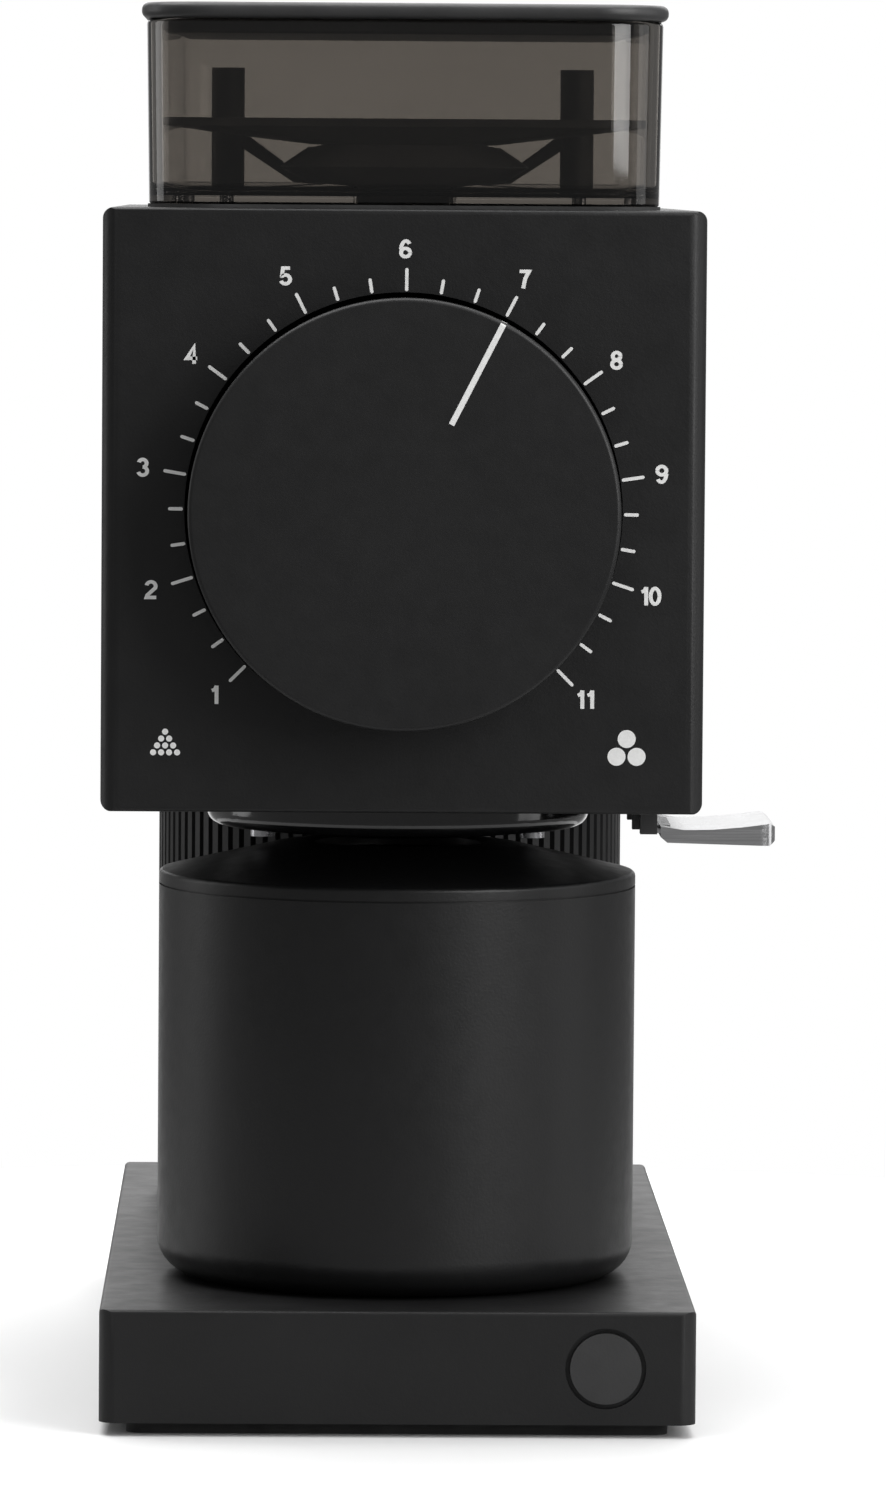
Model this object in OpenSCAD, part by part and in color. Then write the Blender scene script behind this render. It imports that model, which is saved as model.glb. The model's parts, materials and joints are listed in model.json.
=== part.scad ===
// Single-dose burr coffee grinder with a square head, a front grind dial, a round
// ribbed column and a loose grounds cup. Millimetres. The origin is the centre of
// the base footprint on the table: +X right, +Y back, +Z up, the dial faces -Y.

/* [Base] */
// Width of the base shell
base_w = 104.6; // [104:0.2:106]
// Length of the base shell, front to back
base_len = 225; // [224:1:230]
// Height of the base shell's top face above the table
base_top = 22.3; // [22:0.1:23]
// Thickness of the rubber foot pad
pad_t = 2.4; // [2.2:0.1:2.6]
// Wall thickness of the cast housings
wall = 3; // [3:0.1:3.2]

/* [Head] */
// Width and height of the square head
head_w = 105; // [105:0.5:106]
// Height of the head's underside above the table
head_z = 109.6; // [109.6:0.1:110.2]
// Length of the head behind its front plate
head_len = 138.5; // [138:0.5:139]
// Thickness of the front plate
plate_t = 4; // [4:0.1:4.4]

/* [Column] */
// Radius of the ribbed column over its ribs
column_r = 45; // [45:0.5:46]
// Number of ribs around the column
rib_count = 100; // [60:1:120]
// Depth of the grooves between the ribs
rib_depth = 1.1; // [0.8:0.1:1.2]

/* [Dial] */
// Radius of the grind dial
dial_r = 37.35; // [36:0.05:38]
// How far the dial stands in front of the plate
dial_out = 15; // [14:0.5:16]
// Setting that the dial shows at rest, on a scale of 1 to 11
dial_setting = 7; // [1:1:11]
// Thread lead of the adjuster in one turn
adjuster_lead = 1.5; // [1:0.1:1.5]

/* [Burrs] */
// Radius of the flat burrs
burr_r = 32; // [31.5:0.1:32]
// Radius of the hole in a burr
burr_hole_r = 18.75; // [18:0.05:19]
// Thickness of one burr
burr_t = 8; // [7.8:0.1:8]
// Number of feed grooves in a burr's face
burr_grooves = 19; // [12:1:24]
// Gap between the burrs at the finest setting
finest_gap = 0.1; // [0.05:0.01:0.2]

/* [Hopper] */
// Width of the hopper shell at its foot
hopper_w = 89.6; // [89:0.2:90]
// Length of the hopper shell at its foot, front to back
hopper_len = 91.2; // [91:0.2:92]
// Corner radius of the hopper in plan
hopper_corner = 11.5; // [10:0.5:12]
// Thickness of the hopper lid
lid_t = 2.8; // [2.6:0.1:3]

/* [Cup] */
// Outer radius of the grounds cup
cup_r = 43; // [42.4:0.1:43.2]
// Height of the cup's rim above the table
cup_top = 92.8; // [92:0.2:93]
// Wall thickness of the cup
cup_wall = 1.4; // [1:0.1:1.6]

/* [Hidden] */
$fn = 64;

// Fits
run_gap = 0.05;      // radial clearance of a shaft in its bore
fixed_gap = 0.03;    // radial clearance of a screw or pin that is held
cut = 1;             // how far a cutter passes through a face
body_gap = 0.2;      // clearance between pieces that move apart

// Frame
front_y = -base_len / 2;
plate_back_y = front_y + plate_t;
head_rear_y = front_y + head_len + plate_t;
head_top = head_z + head_w;
axis_z = head_z + head_w / 2;
column_y = base_len / 2 - column_r;
column_wall = 4;
base_ceiling = base_top - wall;

// Screws: radius of the shank, head radius, head height, shank length
m4 = [2, 3.5, 2.6, 14];
m4_csk_r = 3.9;
m4_csk_h = 1.9;
m4_csk_len = 9;
m3_r = 1.25;

// Fastener places
base_screw_x = base_w / 2 - 9;
base_screw_y = base_len / 2 - 12;
column_screw_r = column_r - 7.6;
head_screw_x = 20;
head_screw_z = [head_z + 22, head_top - 22];
plate_screw_r = 30;
chamber_screw_r = 41;

// Grinding axis, front to back
bore_r = 38;                              // chamber bore
chamber_r = 44;
chamber_front = plate_back_y;
front_wall = 6;
chamber_rear = front_y + 74.5;
carrier_back = front_y + 46.1;            // face that the outer burr sits on
carrier_ring_t = 9.6;
spider_y = front_y + 12.5;                // front face of the carrier's spider
spider_t = 4;
rest_turn = (dial_setting - 1) * 27;      // degrees from the finest setting
rest_gap = finest_gap + adjuster_lead * rest_turn / 360;
outer_face = carrier_back + burr_t;
inner_face = outer_face + rest_gap;
inner_back = inner_face + burr_t;
rotor_disc_t = 7.6;
shaft_r = 6;
hub_r = 9;
stub_r = 8;
auger_front = front_y + 22.5;
auger_r = 15;
guide_pin_r = 2;
guide_circle_r = 34.7;
burr_screw_circle = 24.4;
feed_w = 14;                              // slot that the beans fall through
feed_len = 18;
feed_y = front_y + 26.5;

// Motor, front to back
bearing_w = 10;
bearing_r = 16;
front_bearing_y = chamber_rear;
can_front = chamber_rear + 8;
can_r = 38;
can_wall = 2;
can_rear = head_rear_y - 9.8;
rear_bearing_y = can_rear + 1.2;
core_front = can_front + 10.5;
core_len = can_rear - core_front - 10.2;   // leaves room for the rear windings
rotor_r = 20.5;
motor_bolt_r = 42.5;
rear_open_r = 20.5;                       // opening for the motor's tail

// Grounds path
chute_y = front_y + 55;
spout_r = 13.8;
spout_wall = 1.8;
spout_bottom = head_z - 7.4;
dish_r = 34.4;
chute_screw_x = 24.3;

// Dial
dial_front = front_y - dial_out;
dial_back = front_y - 0.6;
dial_wall = 3;
pointer_turn = (dial_setting - 6) * 27;   // clockwise from the top, seen from the front
pointer_w = 1;
pointer_depth = 0.6;
pointer_start = 17.5;
click_r = 30;
click_step = 9;
ball_r = 2;

// Hopper
hopper_y = front_y + 54.1;
gasket_t = 0.6;
shell_foot = head_top + gasket_t;
shell_rim = shell_foot + 32.3;
shell_wall = 2.2;
shell_floor = 1.5;
shell_flare = 1;                          // how much wider the rim is than the foot
lid_over = 1.8;                           // lid width over the rim's width
tray_z = shell_foot + 15.1;
post_x = 31.3;
post_r = 3;
post_top = shell_foot + 24.2;

// Knocker
pivot_x = 44.3;
pivot_z = head_z - 3.7;
knock_pin_r = 1.25;
barrel_r = 2.1;
arm_x = pivot_x - 2;
spring_post_x = 36;
ear_front = front_y + 39.5;
ear_rear = front_y + 65.5;
ear_t = 3;

// Button
button_x = 36.4;
button_z = (pad_t + base_top) / 2;
button_r = 6.25;
button_recess_r = 7.1;
button_travel = 2;

// ---------- shared shapes ----------

module rounded_rect(w, l, r) {
    square([w - 2 * r, l], center = true);
    square([w, l - 2 * r], center = true);
    for (sx = [-1, 1], sy = [-1, 1])
        translate([sx * (w / 2 - r), sy * (l / 2 - r)])
            circle(r = r);
}

// A rectangle standing on its lower edge, with only the two upper corners rounded.
module top_rounded_rect(w, h, r) {
    translate([-w / 2, 0])
        square([w, h - r]);
    translate([-w / 2 + r, 0])
        square([w - 2 * r, h]);
    for (s = [-1, 1])
        translate([s * (w / 2 - r), h - r])
            circle(r = r);
}

module slab(w, l, r, z0, z1, y = 0) {
    translate([0, y, z0])
        linear_extrude(z1 - z0)
            rounded_rect(w, l, r);
}

module block(x0, x1, y0, y1, z0, z1) {
    translate([x0, y0, z0])
        cube([x1 - x0, y1 - y0, z1 - z0]);
}

module post(x, y, z0, z1, r) {
    translate([x, y, z0])
        cylinder(h = z1 - z0, r = r);
}

// Children drawn in the front view (x right, y up) and raised towards -Y from y_back.
module facing_front(y_back) {
    translate([0, y_back, axis_z])
        rotate([90, 0, 0])
            children();
}

// A disc and a ring on the grinding axis between two places along Y.
module disc(y0, y1, r) {
    facing_front(y1)
        cylinder(h = y1 - y0, r = r);
}

module ring(y0, y1, r_out, r_in) {
    difference() {
        disc(y0, y1, r_out);
        disc(y0 - cut, y1 + cut, r_in);
    }
}

// A rod along Y at a polar place around the grinding axis, seen from the front.
module rod_at(y0, y1, r_circle, angle, r) {
    facing_front(y1)
        rotate([0, 0, angle])
            translate([r_circle, 0, 0])
                cylinder(h = y1 - y0, r = r);
}

// A pan-head screw standing on its shank's end, head up.
module pan_screw(len) {
    cylinder(h = len, r = m4[0]);
    translate([0, 0, len])
        difference() {
            cylinder(h = m4[2], r = m4[1]);
            translate([0, 0, m4[2] - 1.4])
                cylinder(h = 2, r = 1.4, $fn = 6);
        }
}

// A countersunk screw pointing up from the origin, its flat head at z = 0.
module countersunk_screw() {
    difference() {
        union() {
            cylinder(h = m4_csk_h, r1 = m4_csk_r, r2 = m4[0]);
            translate([0, 0, m4_csk_h])
                cylinder(h = m4_csk_len - m4_csk_h, r = m4[0]);
        }
        translate([0, 0, -cut])
            cylinder(h = cut + 1.1, r = 1.3, $fn = 6);
    }
}

// The clearance that a countersunk screw needs, from z = 0 up.
module countersunk_cutter(depth) {
    translate([0, 0, -cut])
        cylinder(h = cut + 0.01, r = m4_csk_r + fixed_gap);
    cylinder(h = m4_csk_h, r1 = m4_csk_r + fixed_gap, r2 = m4[0] + fixed_gap);
    cylinder(h = depth, r = m4[0] + fixed_gap);
}

// A coil spring of round wire along +Z, its ends within z = 0 and z = h.
module coil_spring(r, wire_r, turns, h) {
    sides = 8;
    per_turn = 16;
    rings = turns * per_turn;
    rise = (h - 2 * wire_r) / rings;
    points = [
        for (i = [0:rings], j = [0:sides - 1])
            let (a = 360 * i / per_turn, b = 360 * j / sides, q = r + wire_r * cos(b))
            [q * cos(a), q * sin(a), wire_r + rise * i + wire_r * sin(b)]
    ];
    skin = [
        for (i = [0:rings - 1], j = [0:sides - 1])
            let (k = (j + 1) % sides)
            [i * sides + j, i * sides + k, (i + 1) * sides + k, (i + 1) * sides + j]
    ];
    first_end = [for (j = [0:sides - 1]) sides - 1 - j];
    last_end = [for (j = [0:sides - 1]) rings * sides + j];
    polyhedron(points = points, faces = concat(skin, [first_end, last_end]), convexity = 8);
}

// ---------- base ----------

module base_screw_places() {
    for (sx = [-1, 1], y = [-base_screw_y, 0, base_screw_y])
        translate([sx * base_screw_x, y, 0])
            children();
}

module column_screw_places() {
    for (a = [45:90:315])
        translate([column_screw_r * cos(a), column_y + column_screw_r * sin(a), 0])
            children();
}

module foot_pad() {
    color([0.05, 0.05, 0.05])
        slab(base_w - 9.4, base_len - 9.4, 3, 0, pad_t);
}

module bottom_plate() {
    plate_z = pad_t + wall;
    color([0.45, 0.46, 0.48])
        difference() {
            slab(base_w - 2 * wall - 0.4, base_len - 2 * wall - 0.4, 2, pad_t, plate_z);
            base_screw_places()
                translate([0, 0, pad_t])
                    countersunk_cutter(wall + cut);
        }
}

module base_shell() {
    edge = 0.8;
    cavity_z = base_ceiling;
    boss_z = pad_t + wall;
    h = base_top - pad_t;
    color([0.14, 0.14, 0.14])
        difference() {
            union() {
                difference() {
                    intersection() {
                        slab(base_w, base_len, 3, pad_t, base_top);
                        translate([0, base_len / 2, pad_t])
                            rotate([90, 0, 0])
                                linear_extrude(base_len)
                                    top_rounded_rect(base_w, h, edge);
                        translate([-base_w / 2, 0, pad_t])
                            rotate([90, 0, 90])
                                linear_extrude(base_w)
                                    top_rounded_rect(base_len, h, edge);
                    }
                    slab(base_w - 2 * wall, base_len - 2 * wall, 2, pad_t - cut, cavity_z);
                }
                base_screw_places()
                    post(0, 0, boss_z, cavity_z + cut, 4.5);
                // rib that the start switch is fixed to
                block(button_x - 9, button_x + 9, front_y + 28.5, front_y + 31.5, boss_z, cavity_z + cut);
                // ring around the magnet
                post(0, chute_y, cavity_z - 3, cavity_z + cut, 12);
            }
            base_screw_places()
                post(0, 0, pad_t, base_ceiling - 1, m4[0] + fixed_gap);
            column_screw_places()
                post(0, 0, base_ceiling - cut, base_top + cut, m4[0] + 0.2);
            post(0, column_y, base_ceiling - cut, base_top + cut, 14);
            post(0, chute_y, base_ceiling - 3 - cut, base_ceiling, 10 + fixed_gap);
            translate([button_x, front_y - cut, button_z])
                rotate([-90, 0, 0]) {
                    cylinder(h = cut + 1, r = button_recess_r);
                    cylinder(h = wall + 2 * cut, r = button_r + run_gap);
                }
            translate([0, base_len / 2 + cut, button_z])
                rotate([90, 0, 0]) {
                    cylinder(h = cut + 1.5, r = 7.5 + fixed_gap);
                    cylinder(h = wall + 2 * cut, r = 5.5 + fixed_gap);
                }
        }
}

module base_magnet() {
    color([0.7, 0.7, 0.72])
        post(0, chute_y, base_ceiling - 3, base_ceiling, 10);
}

module countersunk_screws() {
    color([0.55, 0.55, 0.57]) {
        base_screw_places()
            translate([0, 0, pad_t])
                countersunk_screw();
        for (a = [45:90:315])
            facing_front(front_y)
                rotate([0, 0, a])
                    translate([plate_screw_r, 0, 0])
                        rotate([180, 0, 0])
                            countersunk_screw();
    }
}

module cord_gland() {
    color([0.08, 0.08, 0.08])
        translate([0, base_len / 2, button_z])
            rotate([90, 0, 0])
                difference() {
                    union() {
                        cylinder(h = 1.5, r = 7.5);
                        cylinder(h = 5, r = 5.5);
                        translate([0, 0, wall])
                            cylinder(h = 2, r = 6.8);
                    }
                    translate([0, 0, -cut])
                        cylinder(h = 5 + 2 * cut, r = 3.6);
                }
}

// ---------- column ----------

module rib_outline() {
    step = 360 / rib_count;
    low = column_r - rib_depth;
    polygon([
        for (i = [0:rib_count - 1], p = [[0.05, low], [0.2, column_r], [0.75, column_r], [0.9, low]])
            let (a = (i + p[0]) * step)
            [p[1] * cos(a), p[1] * sin(a)]
    ]);
}

// The column keeps its whole circle below the head and is cut flat behind it.
module behind_head() {
    difference() {
        children();
        block(-60, 60, column_y - 60, head_rear_y, head_z, head_top + cut);
    }
}

module column_housing() {
    cap_t = 3;
    bore = column_r - column_wall;
    rail_y = column_y - 6;
    color([0.12, 0.12, 0.12])
        difference() {
            behind_head()
                union() {
                    translate([0, column_y, base_top])
                        linear_extrude(head_top - cap_t - base_top)
                            difference() {
                                rib_outline();
                                circle(r = bore);
                            }
                    // bosses for the screws from the base
                    column_screw_places()
                        post(0, 0, base_top, base_top + 16, 4.4);
                    // pads that the head is screwed to
                    for (s = [-1, 1])
                        block(s * head_screw_x - 5, s * head_screw_x + 5,
                              head_rear_y, head_rear_y + 10, head_z + 12, head_top - 12);
                    // rails for the control board
                    for (s = [-1, 1], dy = [-1, 1])
                        block(s * 38 - 4, s * 38 + 4,
                              rail_y + dy * 1.8 - 0.9, rail_y + dy * 1.8 + 0.9, base_top + 18, base_top + 130);
                }
            column_screw_places()
                post(0, 0, base_top - cut, base_top + 14, m4[0] + fixed_gap);
            for (s = [-1, 1], z = head_screw_z)
                translate([s * head_screw_x, head_rear_y - cut, z])
                    rotate([-90, 0, 0])
                        cylinder(h = 12.5, r = m4[0] + fixed_gap);
            // motor tail
            disc(head_rear_y - cut, head_rear_y + 12, rear_open_r);
        }
}

module column_cap() {
    color([0.13, 0.13, 0.13])
        behind_head() {
            union() {
                post(0, column_y, head_top - 3, head_top, column_r);
                difference() {
                    post(0, column_y, head_top - 8, head_top - 2, column_r - column_wall - 0.1);
                    post(0, column_y, head_top - 9, head_top - 3, column_r - column_wall - 2.1);
                    block(-26, 26, column_y - 60, column_y - 26, head_top - 9, head_top - 3);
                }
            }
        }
}

module housing_screws() {
    color([0.55, 0.55, 0.57]) {
        column_screw_places()
            translate([0, 0, base_ceiling + m4[3]])
                rotate([180, 0, 0])
                    pan_screw(m4[3]);
        for (s = [-1, 1], z = head_screw_z)
            translate([s * head_screw_x, head_rear_y - wall + m4[3], z])
                rotate([90, 0, 0])
                    pan_screw(m4[3]);
    }
}

board_w = 70;
board_y = column_y - 6;
board_z = base_top + 18;

module control_board() {
    color([0.05, 0.3, 0.15])
        union() {
            block(-board_w / 2, board_w / 2, board_y - 0.8, board_y + 0.8, board_z, board_z + 108);
            for (x = [-22, -8, 6, 20])
                block(x, x + 9, board_y + 0.8, board_y + 7, board_z + 82, board_z + 96);
        }
}

module power_module() {
    color([0.1, 0.1, 0.12])
        block(-24, 24, board_y + 0.8, board_y + 26, board_z + 12, board_z + 62);
}

module run_capacitor() {
    color([0.8, 0.8, 0.82])
        post(0, board_y - 0.8 - 12.5, board_z + 8, board_z + 68, 12.5);
}

// ---------- head ----------

module head_outline() {
    rounded_rect(head_w, head_w, 2);
}

module head_housing() {
    color([0.13, 0.13, 0.13])
        difference() {
            union() {
                difference() {
                    facing_front(head_rear_y)
                        linear_extrude(head_rear_y - plate_back_y)
                            head_outline();
                    facing_front(head_rear_y - wall)
                        linear_extrude(head_rear_y - plate_back_y)
                            rounded_rect(head_w - 2 * wall, head_w - 2 * wall, 1);
                }
                // post that the knocker spring pulls on
                block(spring_post_x - 3, spring_post_x, chute_y - 5.5, chute_y + 0.5,
                      head_z + wall - cut, head_z + 8);
            }
            // motor tail and wires
            disc(head_rear_y - wall - cut, head_rear_y + cut, rear_open_r);
            for (s = [-1, 1], z = head_screw_z)
                translate([s * head_screw_x, head_rear_y - wall - cut, z])
                    rotate([-90, 0, 0])
                        cylinder(h = wall + 2 * cut, r = m4[0] + 0.2);
            // bean feed, hopper screws
            block(-feed_w / 2 - 1.8, feed_w / 2 + 1.8, feed_y - feed_len / 2 - 1.8, feed_y + feed_len / 2 + 1.8,
                  head_top - wall - cut, head_top + cut);
            for (s = [-1, 1])
                post(s * post_x, hopper_y, head_top - wall - cut, head_top + cut, m3_r + fixed_gap);
            // chute, its screws and the knocker's arm
            post(0, chute_y, head_z - cut, head_z + wall + cut, 16.5);
            for (s = [-1, 1])
                post(s * chute_screw_x, chute_y, head_z - cut, head_z + wall + cut, m3_r + fixed_gap);
            block(pivot_x - 3.5, head_w / 2 - wall - 0.1, chute_y - 8, chute_y + 3,
                  head_z - cut, head_z + wall + cut);
        }
}

module front_plate() {
    side_edge = 3.3;
    top_edge = 1;
    // plan: front corners rounded, seen from above with the front at +y
    color([0.14, 0.14, 0.14])
        difference() {
            intersection() {
                facing_front(plate_back_y)
                    linear_extrude(plate_t)
                        head_outline();
                translate([0, plate_back_y, head_z])
                    linear_extrude(head_w)
                        mirror([0, 1])
                            top_rounded_rect(head_w, plate_t, side_edge);
                translate([-head_w / 2, plate_back_y, axis_z])
                    rotate([0, 90, 0])
                        linear_extrude(head_w)
                            mirror([0, 1])
                                top_rounded_rect(head_w, plate_t, top_edge);
            }
            disc(front_y - cut, plate_back_y + cut, hub_r + 0.6);
            // groove around the dial's rim
            difference() {
                disc(front_y - cut, front_y + 3, dial_r + 0.75);
                disc(front_y - 2 * cut, front_y + 3 + cut, dial_r - 1.4);
            }
            for (a = [45:90:315])
                facing_front(front_y)
                    rotate([0, 0, a])
                        translate([plate_screw_r, 0, 0])
                            rotate([180, 0, 0])
                                countersunk_cutter(plate_t + cut);
            rod_at(front_y - cut, plate_back_y + cut, click_r, 90, ball_r + run_gap);
        }
}

module grind_chamber() {
    inlet_x = feed_w / 2 + 4.5;
    inlet_y = feed_len / 2 + 4.5;
    inlet_top = head_top - wall - 0.5;
    socket = 1.4;
    color([0.62, 0.63, 0.65])
        difference() {
            union() {
                disc(chamber_front, chamber_rear, chamber_r);
                block(-inlet_x, inlet_x, feed_y - inlet_y, feed_y + inlet_y, axis_z + bore_r - 4, inlet_top);
                post(0, chute_y, head_z + 0.5, axis_z - bore_r + 4, 16);
            }
            disc(chamber_front + front_wall, chamber_rear + cut, bore_r);
            disc(chamber_front - cut, chamber_front + front_wall + cut, hub_r + run_gap);
            for (a = [45:90:315])
                rod_at(chamber_front - cut, chamber_front + front_wall + cut, plate_screw_r, a, m4[0] + fixed_gap);
            for (a = [0, 180])
                rod_at(chamber_front + 2, chamber_front + front_wall + cut, guide_circle_r, a,
                       guide_pin_r + fixed_gap);
            rod_at(chamber_front - cut, chamber_front + 4, click_r, 90, ball_r + run_gap);
            for (a = [0:90:270])
                rod_at(chamber_rear - 12, chamber_rear + cut, chamber_screw_r, a, m3_r + fixed_gap);
            // bean slot, with a socket for the funnel's neck
            block(-feed_w / 2, feed_w / 2, feed_y - feed_len / 2, feed_y + feed_len / 2, axis_z, inlet_top + cut);
            block(-feed_w / 2 - socket, feed_w / 2 + socket,
                  feed_y - feed_len / 2 - socket, feed_y + feed_len / 2 + socket, inlet_top - 6, inlet_top + cut);
            // grounds outlet
            post(0, chute_y, head_z - cut, axis_z - 20, spout_r - spout_wall);
            post(0, chute_y, head_z - cut, head_z + 9.5, spout_r + fixed_gap);
        }
}

module guide_pins() {
    color([0.75, 0.75, 0.77])
        for (a = [0, 180])
            rod_at(chamber_front + 2, carrier_back - 0.6, guide_circle_r, a, guide_pin_r);
}

// A wavy washer that keeps the adjuster's thread loaded.
module wave_spring() {
    steps = 96;
    waves = 4;
    r_in = 22;
    r_out = 27;
    half_t = 0.2;
    y0 = chamber_front + front_wall;
    mid = (spider_y - y0) / 2;
    swing = mid - half_t - 0.05;
    function place(i, r, side) =
        let (a = 360 * i / steps)
        [r * cos(a), y0 + mid + swing * cos(waves * a) + side * half_t, axis_z + r * sin(a)];
    points = [for (i = [0:steps - 1], c = [[r_in, -1], [r_out, -1], [r_out, 1], [r_in, 1]]) place(i, c[0], c[1])];
    faces = [
        for (i = [0:steps - 1], c = [0:3])
            let (n = (i + 1) % steps, d = (c + 1) % 4)
            [4 * i + c, 4 * i + d, 4 * n + d, 4 * n + c]
    ];
    color([0.6, 0.6, 0.62])
        polyhedron(points = points, faces = faces, convexity = 6);
}

// ---------- motor ----------

module motor_bolt_places() {
    for (a = [45:90:315])
        rotate([0, 0, a])
            translate([motor_bolt_r, 0, 0])
                children();
}

module motor_flange() {
    color([0.62, 0.63, 0.65])
        difference() {
            union() {
                disc(chamber_rear, can_front, chamber_r);
                disc(chamber_rear - 2, chamber_rear, bore_r - 0.1);
                disc(can_front, front_bearing_y + bearing_w, bearing_r + 4);
                facing_front(can_front)
                    motor_bolt_places()
                        cylinder(h = can_front - chamber_rear - 1, r = 5);
            }
            disc(front_bearing_y, front_bearing_y + bearing_w + cut, bearing_r + fixed_gap);
            disc(chamber_rear - 2 - cut, front_bearing_y + cut, shaft_r + 2);
            for (a = [0:90:270])
                rod_at(chamber_rear - cut, can_front + cut, chamber_screw_r, a, m3_r + 0.1);
            facing_front(can_front + cut)
                motor_bolt_places()
                    cylinder(h = 7 + cut, r = m4[0] + fixed_gap);
        }
}

module motor_can() {
    color([0.4, 0.41, 0.43])
        ring(can_front, can_rear, can_r, can_r - can_wall);
}

module stator_core() {
    slots = 12;
    color([0.5, 0.5, 0.52])
        difference() {
            ring(core_front, core_front + core_len, can_r - can_wall - fixed_gap, rotor_r + 0.5);
            facing_front(core_front + core_len + cut)
                for (i = [0:slots - 1])
                    rotate([0, 0, (i + 0.5) * 360 / slots])
                        translate([rotor_r + 2.5, -2.5, 0])
                            cube([8, 5, core_len + 2 * cut]);
        }
}

module stator_windings() {
    color([0.72, 0.38, 0.16])
        for (y = [core_front - 5, core_front + core_len + 5])
            translate([0, y, axis_z])
                rotate([90, 0, 0])
                    rotate_extrude()
                        translate([28.5, 0])
                            circle(r = 5);
}

module motor_end_bell() {
    color([0.62, 0.63, 0.65])
        difference() {
            union() {
                disc(can_rear, can_rear + 4, can_r);
                disc(can_rear, rear_bearing_y + bearing_w + 1.8, bearing_r + 3.5);
                facing_front(can_rear + 4)
                    intersection() {
                        motor_bolt_places()
                            cylinder(h = 4, r = 5);
                        cylinder(h = 4, r = motor_bolt_r + 5);
                    }
            }
            disc(can_rear - cut, rear_bearing_y + bearing_w, bearing_r + fixed_gap);
            disc(can_rear, rear_bearing_y + bearing_w + 3, shaft_r + 4);
            facing_front(can_rear + 4 + cut)
                motor_bolt_places()
                    cylinder(h = 4 + 2 * cut, r = m4[0] + 0.1);
        }
}

module motor_bolts() {
    color([0.55, 0.55, 0.57]) {
        facing_front(can_rear + 4)
            motor_bolt_places() {
                cylinder(h = can_rear + 4 - can_front + 6, r = m4[0]);
                translate([0, 0, -2.6])
                    cylinder(h = 2.6, r = 3.5, $fn = 6);
            }
        for (a = [0:90:270]) {
            rod_at(chamber_rear - 8, can_front, chamber_screw_r, a, m3_r);
            rod_at(can_front, can_front + 2, chamber_screw_r, a, 2.3);
        }
    }
}

module both_bearings() {
    for (y = [front_bearing_y, rear_bearing_y])
        translate([0, y - front_bearing_y, 0])
            children();
}

module bearing_outer_rings() {
    balls = 9;
    track_r = 10.85;
    color([0.72, 0.73, 0.75])
        both_bearings() {
            ring(front_bearing_y, front_bearing_y + bearing_w, bearing_r, 13.1);
            facing_front(front_bearing_y + bearing_w / 2)
                for (i = [0:balls - 1])
                    rotate([0, 0, i * 360 / balls])
                        translate([track_r, 0, 0])
                            sphere(r = 2.2, $fn = 24);
        }
}

module bearing_inner_rings() {
    color([0.72, 0.73, 0.75])
        both_bearings()
            ring(front_bearing_y, front_bearing_y + bearing_w, 8.6, shaft_r + fixed_gap);
}

// ---------- rotor ----------

module drive_shaft() {
    color([0.7, 0.7, 0.72])
        difference() {
            disc(auger_front, rear_bearing_y + bearing_w, shaft_r);
            disc(auger_front - cut, auger_front + 14, 3 + fixed_gap);
        }
}

module rotor_core() {
    color([0.5, 0.5, 0.52])
        difference() {
            union() {
                disc(core_front, core_front + core_len, rotor_r);
                disc(core_front - 4, core_front + core_len + 4, rotor_r - 3);
            }
            disc(core_front - 5, core_front + core_len + 5, shaft_r + fixed_gap);
        }
}

module rotor_fan() {
    blades = 9;
    y0 = core_front + core_len + 4.5;
    h = 5;
    color([0.2, 0.2, 0.2])
        difference() {
            union() {
                disc(y0, y0 + h, 9);
                disc(y0, y0 + 1, 20);
                facing_front(y0 + h)
                    for (i = [0:blades - 1])
                        rotate([0, 0, i * 360 / blades])
                            translate([8, -0.6, 0])
                                cube([12, 1.2, h]);
            }
            disc(y0 - cut, y0 + h + cut, shaft_r + fixed_gap);
        }
}

module burr_screw_places(y) {
    facing_front(y)
        for (a = [90:120:330])
            rotate([0, 0, a])
                translate([burr_screw_circle, 0, 0])
                    children();
}

// A burr whose toothed face is its front face at z = burr_t, drawn lying at z = 0.
module burr_shape() {
    land = 1.2;
    groove_slant = 18;
    rim_teeth = 3;                        // fine teeth at the rim for each feed groove
    rim_start = 17.5;                     // how far along a groove's line the rim band begins
    rim_depth = 0.8;
    rim_w = 0.8;
    difference() {
        union() {
            difference() {
                cylinder(h = burr_t, r = burr_r);
                translate([0, 0, -cut])
                    cylinder(h = burr_t + 2 * cut, r = burr_hole_r);
                // the face falls towards the hole
                translate([0, 0, burr_t - 1.6])
                    cylinder(h = 1.61, r1 = burr_hole_r, r2 = burr_r - 6);
                for (i = [0:burr_grooves - 1])
                    rotate([0, 0, i * 360 / burr_grooves])
                        translate([burr_hole_r * 0.35, 6, burr_t - land])
                            rotate([0, 0, groove_slant])
                                cube([burr_r, 1.6, land + cut]);
                // fine grooves between the feed grooves, in the rim band only
                for (i = [0:burr_grooves - 1], k = [1:rim_teeth - 1])
                    rotate([0, 0, (i + k / rim_teeth) * 360 / burr_grooves])
                        translate([burr_hole_r * 0.35, 6, burr_t - rim_depth])
                            rotate([0, 0, groove_slant])
                                translate([rim_start, rim_w / 2, 0])
                                    cube([burr_r, rim_w, rim_depth + cut]);
            }
            for (a = [90:120:330])
                rotate([0, 0, a])
                    translate([burr_screw_circle, 0, 0])
                        cylinder(h = burr_t - 0.2, r = 3.75);
        }
        for (a = [90:120:330])
            rotate([0, 0, a])
                translate([burr_screw_circle, 0, 0]) {
                    translate([0, 0, -cut])
                        cylinder(h = burr_t + 2 * cut, r = 1.5 + fixed_gap);
                    translate([0, 0, burr_t - 3.2])
                        cylinder(h = 4, r = 2.35);
                }
    }
}

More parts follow.
